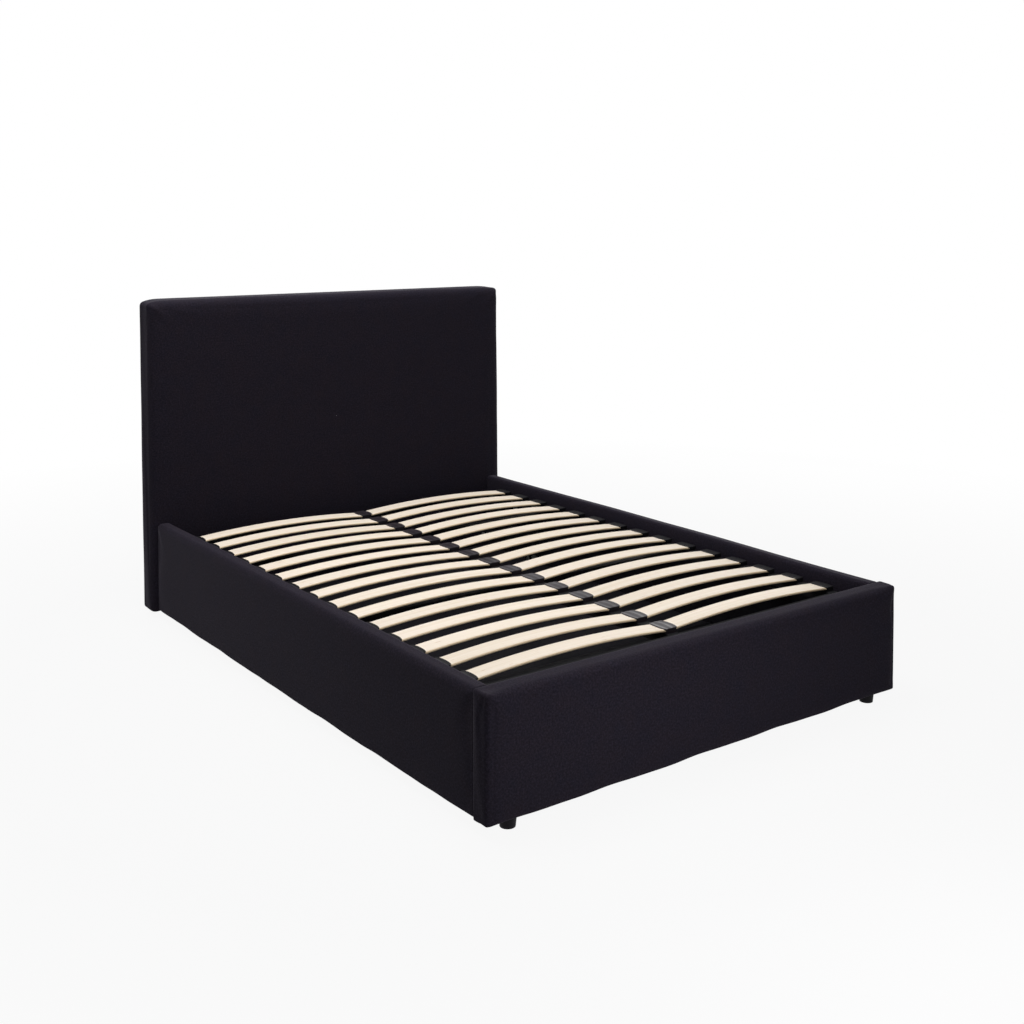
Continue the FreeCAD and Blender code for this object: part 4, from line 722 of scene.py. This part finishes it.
def socketSkin(xInner, xOuter, lipInner, lipOuter):
    # rings of one plan outline stacked upwards: foot, wall, out over the lips, and in over the domed top
    half = holders["halfLength"]
    v = np.linspace(-1, 1, holders["outlinePoints"])
    bulge = np.sqrt(np.maximum(0, 1 - np.abs(v) ** holders["tongue"]))  # lips are rounded tongues
    around = np.concatenate([v, v[::-1]])
    fall = holders["dome"] * around ** 2  # the dome: 1 - v^2 along the socket

    def outline(left, right, length, height):
        plan = np.concatenate([left, right[::-1]])
        return np.stack([plan, around * length, np.broadcast_to(height, len(around)).astype(float)], axis=1)

    wall = np.full(len(v), xInner), np.full(len(v), xOuter)
    lip = xInner - lipInner * bulge, xOuter + lipOuter * bulge
    low, under, top = holders["low"], holders["lipUnder"], holders["top"]
    levels = ((wall, -0.001, 0.97, low), (wall, 0.0, 0.98, low + 0.0015), (wall, 0.0, 0.985, under - 0.002),
              (wall, 0.0, 0.985, under - fall), (lip, 0.0, 0.99, under - fall),
              (lip, 0.0006, 1.0, (under + top) / 2 - fall), (lip, 0.0003, 1.0, top - 0.0016 - fall),
              (lip, 0.0, 0.99, top - 0.0009 - fall))  # outline, outset, share of the length, height
    rings = [outline(left - outset, right + outset, half * share, height)
             for (left, right), outset, share, height in levels]
    middle = (xInner + xOuter) / 2
    for share in np.linspace(0.96, 0.02, holders["topRings"]):  # closes to its middle line in ribs
        rib = holders["ribDepth"] * np.cos(2 * math.pi * holders["ribs"] * (0.5 - 0.5 * share))
        height = top - 0.0008 - fall + rib * smoothStep(1.0, 0.9, share)
        rings.append(outline(*(middle + (edge - middle) * share for edge in lip), half * 0.985, height))
    copies = np.repeat(np.stack(rings)[None], len(slatRows), axis=0)
    copies[..., 1] += slatRows[:, None, None]
    return copies


def makeHolders():
    wide, lip, sideIn, sideOut = (holders[key] for key in ("halfWide", "lip", "sideIn", "sideOut"))
    # the centre sockets take the greyer copy of the plastic, a painted highlight; the side sockets keep the
    # plain black
    kinds = (("centre_sockets", "centre_slat_holders", -wide, wide, lip, lip, "painted_highlight_plastic"),
             ("right_sockets", "right_slat_holders", sideIn, sideOut, lip, 0.0, "black_plastic"),
             ("left_sockets", "left_slat_holders", -sideOut, -sideIn, 0.0, lip, "black_plastic"))
    for name, stands, left, right, lipLeft, lipRight, finish in kinds:
        points = socketSkin(left, right, lipLeft, lipRight)
        makePiece(name, points, sweepFaces(*points.shape[:3]), plain[finish], "lid",
                  [stands], 50)


makeHolders()
print("holders made:", slats["rows"] * 3)


# back cloth of the headboard, stapled round its edge

backCloth = {
    "left": -0.727, "right": 0.727, "low": 0.036, "high": 1.085, "face": 1.0442, "thick": 0.0010,
    "grid": (61, 45), "sunk": 0.0004, "pucker": 0.0008, "puckerReach": 0.02,
    "slack": 0.0006, "slackFrom": 0.2,
}
staples = {
    "gap": 0.07, "inset": 0.011, "first": 0.05, "last": 0.04,
    "half": 0.005, "proud": 0.0004, "leg": 0.0035, "wire": 0.0005,  # half length, crown, legs, half thickness
}


def makeBackCloth():
    # a taut sheet, a grid of x and z that puckers a little between its staples, with a back layer
    left, right, low, high = (backCloth[key] for key in ("left", "right", "low", "high"))
    u, v = np.meshgrid(*(np.linspace(0, 1, count) for count in backCloth["grid"]), indexing="ij")
    x = left + (right - left) * u
    z = low + (high - low) * v
    edge = np.minimum(np.minimum(u, 1 - u) * (right - left), np.minimum(v, 1 - v) * (high - low))
    pucker = np.exp(-edge / backCloth["puckerReach"]) * np.abs(np.sin(math.pi * (x + z) / staples["gap"]))
    slack = waver(x, z, 44) * smoothStep(0, backCloth["slackFrom"], edge)
    face = backCloth["face"] - backCloth["sunk"] + backCloth["pucker"] * pucker + backCloth["slack"] * slack
    front = np.stack([x, face, z], axis=-1).reshape(-1, 3)
    behind = front - (0.0, backCloth["thick"], 0.0)
    index = np.arange(u.size).reshape(u.shape)
    quads = gridFaces(index)
    rim = np.concatenate([index[:, 0], index[-1, 1:], index[-2::-1, -1], index[0, -2:0:-1]])
    after = np.roll(rim, -1)
    sides = np.stack([rim, after, after + u.size, rim + u.size], axis=1)
    faces = np.concatenate([quads, quads[:, ::-1] + u.size, sides]).tolist()
    piece = makePiece("headboard_dust_cloth", np.concatenate([front, behind]), faces, plain["back_lining"],
                      "bed_base", ["headboard_back_cloth"], 40)


def makeStaples():
    # each is a square wire bent down at both ends: the square is carried along leg, crown and leg
    inset, half, leg, proud = (staples[key] for key in ("inset", "half", "leg", "proud"))
    path = np.array([[-half, -leg], [-half, proud], [half, proud], [half, -leg]])
    square = np.array([[-1, -1], [1, -1], [1, 1], [-1, 1]]) * staples["wire"]
    mitre = np.array([0.0, 1.0, -1.0, 0.0])[:, None]  # how each ring leans, so that the bends stay square
    level = np.empty((4, 4, 3))
    level[..., 0] = path[:, 0, None] + square[:, 0]
    level[..., 1] = backCloth["face"] + path[:, 1, None] + square[:, 0] * mitre
    level[..., 2] = square[:, 1]
    left, right, low, high = (backCloth[key] for key in ("left", "right", "low", "high"))
    xs = np.arange(left + staples["first"], right - staples["last"], staples["gap"])
    zs = np.arange(low + staples["first"], high - staples["last"], staples["gap"])
    copies = [level + (x, 0.0, z) for z in (low + inset, high - inset) for x in xs]
    upright = level[..., [2, 1, 0]]
    copies += [upright + (x, 0.0, z) for x in (left + inset, right - inset) for z in zs]
    points = np.stack(copies)
    makePiece("dust_cloth_staples", points, sweepFaces(*points.shape[:3]), plain["zinc_steel"],
              "bed_base", (), 30)


makeBackCloth()
makeStaples()
print("back cloth made")


# joint strips between the floor panels

jointStrip = {"wide": 0.026, "proud": 0.0018, "web": 0.005, "deep": 0.0035, "dome": 9, "stations": 9}


def makeJointStrips():
    # a mushroom profile, low dome over a web that stands in the gap, carried across the storage floor
    wide, web, deep = jointStrip["wide"], jointStrip["web"] / 2, jointStrip["deep"]
    across = np.linspace(-1, 1, jointStrip["dome"])
    dome = np.stack([across * wide / 2, jointStrip["proud"] * (1 - 0.8 * across ** 4)], axis=1)
    below = [(0.5 * wide, 0.0), (0.1 * wide, 0.0), (web, -deep)]
    mirrored = [(-y, z) for y, z in reversed(below)]
    profile = np.concatenate([dome, below, mirrored])
    foot, middle, head = (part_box("floor_panel_" + part) for part in ("foot", "middle", "head"))
    gaps = np.array([(foot[1][1] + middle[0][1]) / 2, (middle[1][1] + head[0][1]) / 2])
    stations = np.linspace(middle[0][0], middle[1][0], jointStrip["stations"])
    points = np.empty((len(gaps), len(stations), len(profile), 3))
    points[..., 0] = stations[:, None]
    points[..., 1] = gaps[:, None, None] + profile[:, 0]
    points[..., 2] = middle[1][2] + profile[:, 1]
    makePiece("floor_joint_strips", points, sweepFaces(*points.shape[:3]), plain["black_plastic"],
              "bed_base", (), 35)


makeJointStrips()
print("joint strips made")


# CAD nodes that stay: edges eased by weld and bevel, and a procedural finish by their slot

easing = {  # edge round in metres by slot
    "black_steel": 0.0022, "black_plastic": 0.0016, "zinc_steel": 0.0007, "lined_board": 0.0015,
    "core_timber": 0.003, "buffer_rubber": 0.002, "chrome_rod": 0.0004,
}


def dressNode(node):
    slotName = node.material_slots[0].material.name.split(".")[0]
    node.material_slots[0].material = plain[slotName]
    weld = node.modifiers.new("weld", "WELD")
    weld.merge_threshold = 0.00002
    bevel = node.modifiers.new("ease", "BEVEL")
    bevel.width = easing[slotName]
    bevel.segments = 2
    bevel.limit_method = "ANGLE"
    bevel.angle_limit = math.radians(40)
    bevel.harden_normals = False


shownNodes = [node for node in nodes.values() if not node.hide_render]
for node in shownNodes:
    dressNode(node)
print("CAD nodes dressed:", len(shownNodes))


# floor, light and camera

studio = {
    "floorReach": 40.0, "floorHeight": -0.0006, "floorColour": "#9c9c9e", "sky": 0.14, "skyColour": "#f2f3f6",
    "cameraWhite": 0.92, "fadeFrom": 1.6, "fadeTo": 4.0,  # share of white that the camera sees, full far away
    "underHalf": (0.66, 0.95), "underSoft": 0.04,         # none under the bed, which stays in full shadow
}
lamps = {  # place, aim, size in metres, power in watts
    "key_softbox": ((-0.35, -2.05, 0.55), (-0.3, -1.0, 0.2), 0.9, 8.5),
    "side_softbox": ((-1.6, 0.1, 1.3), (-0.7, 0.4, 0.4), 0.9, 0.8),
    "top_softbox": ((-0.75, 0.2, 3.5), (-0.2, 0.5, 0.4), 2.2, 112.0),
    "right_softbox": ((3.2, 1.3, 1.0), (0.7, 0.1, 0.3), 1.8, 30.0),
    "back_softbox": ((0.5, 3.8, 1.8), (0.0, 1.0, 0.5), 1.8, 26.0),
}
view = {
    "lens": 45.24, "sensor": 36.0, "shiftUp": -0.221,
    "place": (-2.3576, -3.3516, 1.4095), "turn": (86.855, 0.0, -36.364),  # degrees
}


def seenRays(tree):  # one for rays that show the background itself, by eye, in gloss or through glass
    path = addNode(tree, "ShaderNodeLightPath")
    seen = addNode(tree, "ShaderNodeMath", {"operation": "MAXIMUM"},
                   {0: path.outputs["Is Camera Ray"], 1: path.outputs["Is Glossy Ray"]})
    either = addNode(tree, "ShaderNodeMath", {"operation": "MAXIMUM"},
                     {0: seen.outputs[0], 1: path.outputs["Is Transmission Ray"]})
    return either.outputs[0]


def makeFloorPaint():
    # matt grey paint that takes the shadow, seen mostly white
    material, tree = newMaterial("matt_white_floor")
    place = addNode(tree, "ShaderNodeTexCoord").outputs["Object"]
    reach = addNode(tree, "ShaderNodeVectorMath", {"operation": "LENGTH"}, {0: place})
    fade = addNode(tree, "ShaderNodeMapRange",
                   {"From Min": studio["fadeFrom"], "From Max": studio["fadeTo"],
                    "To Min": studio["cameraWhite"], "To Max": 1.0}, {"Value": reach.outputs["Value"]})
    plan = addNode(tree, "ShaderNodeVectorMath", {"operation": "ABSOLUTE"}, {0: place})
    beside = addNode(tree, "ShaderNodeVectorMath", {"operation": "SUBTRACT", 1: (*studio["underHalf"], 0.0)},
                     {0: plan.outputs[0]})
    sides = addNode(tree, "ShaderNodeSeparateXYZ", {}, {0: beside.outputs[0]})
    clear = addNode(tree, "ShaderNodeMath", {"operation": "MAXIMUM"},
                    {0: sides.outputs["X"], 1: sides.outputs["Y"]})
    outside = addNode(tree, "ShaderNodeMapRange", {"From Min": -studio["underSoft"], "From Max": 0.0},
                      {"Value": clear.outputs[0]})
    shown = addNode(tree, "ShaderNodeMath", {"operation": "MULTIPLY"},
                    {0: outside.outputs[0], 1: fade.outputs[0]})
    share = addNode(tree, "ShaderNodeMath", {"operation": "MULTIPLY"},
                    {0: seenRays(tree), 1: shown.outputs[0]})
    matt = addNode(tree, "ShaderNodeBsdfDiffuse", {"Color": linear(studio["floorColour"])})
    white = addNode(tree, "ShaderNodeEmission", {"Color": (1, 1, 1, 1), "Strength": 1.0})
    both = addNode(tree, "ShaderNodeMixShader", {},
                   {0: share.outputs[0], 1: matt.outputs[0], 2: white.outputs[0]})
    addNode(tree, "ShaderNodeOutputMaterial", {}, {"Surface": both.outputs[0]})
    return material


def makeFloor():  # a wide square grid
    steps = np.linspace(-1, 1, 9) * studio["floorReach"]
    x, y = np.meshgrid(steps, steps, indexing="ij")
    points = np.stack([x, y, np.full(x.shape, studio["floorHeight"])], axis=-1).reshape(-1, 3)
    mesh = bpy.data.meshes.new("floor")
    mesh.from_pydata(points.tolist(), [], gridFaces(np.arange(x.size).reshape(x.shape)).tolist())
    mesh.materials.append(makeFloorPaint())
    floor = bpy.data.objects.new("floor", mesh)
    scene.collection.objects.link(floor)


def makeWorld():
    world = bpy.data.worlds.new("studio")
    world.use_nodes = True
    scene.world = world
    tree = world.node_tree
    tree.nodes.clear()
    soft = addNode(tree, "ShaderNodeBackground",
                   {"Color": linear(studio["skyColour"]), "Strength": studio["sky"]})
    white = addNode(tree, "ShaderNodeBackground", {"Color": (1, 1, 1, 1), "Strength": 1.0})
    both = addNode(tree, "ShaderNodeMixShader", {},
                   {0: seenRays(tree), 1: soft.outputs[0], 2: white.outputs[0]})
    addNode(tree, "ShaderNodeOutputWorld", {}, {"Surface": both.outputs[0]})


def makeLamp(name, place, aim, size, power):
    lamp = bpy.data.lights.new(name, "AREA")
    lamp.shape = "SQUARE"
    lamp.size = size
    lamp.energy = power
    holder = bpy.data.objects.new(name, lamp)
    holder.location = place
    holder.visible_camera = False
    holder.rotation_euler = (Vector(aim) - Vector(place)).to_track_quat("-Z", "Y").to_euler()
    scene.collection.objects.link(holder)


def makeCamera():
    lens = bpy.data.cameras.new("photo_view")
    lens.sensor_width = view["sensor"]
    lens.lens = view["lens"]
    lens.shift_y = view["shiftUp"]
    camera = bpy.data.objects.new("photo_view", lens)
    camera.location = view["place"]
    camera.rotation_euler = [math.radians(angle) for angle in view["turn"]]
    scene.collection.objects.link(camera)
    scene.camera = camera


makeFloor()
makeWorld()
for name, values in lamps.items():
    makeLamp(name, *values)
makeCamera()
scene.view_settings.view_transform = "Standard"
print("stage set")
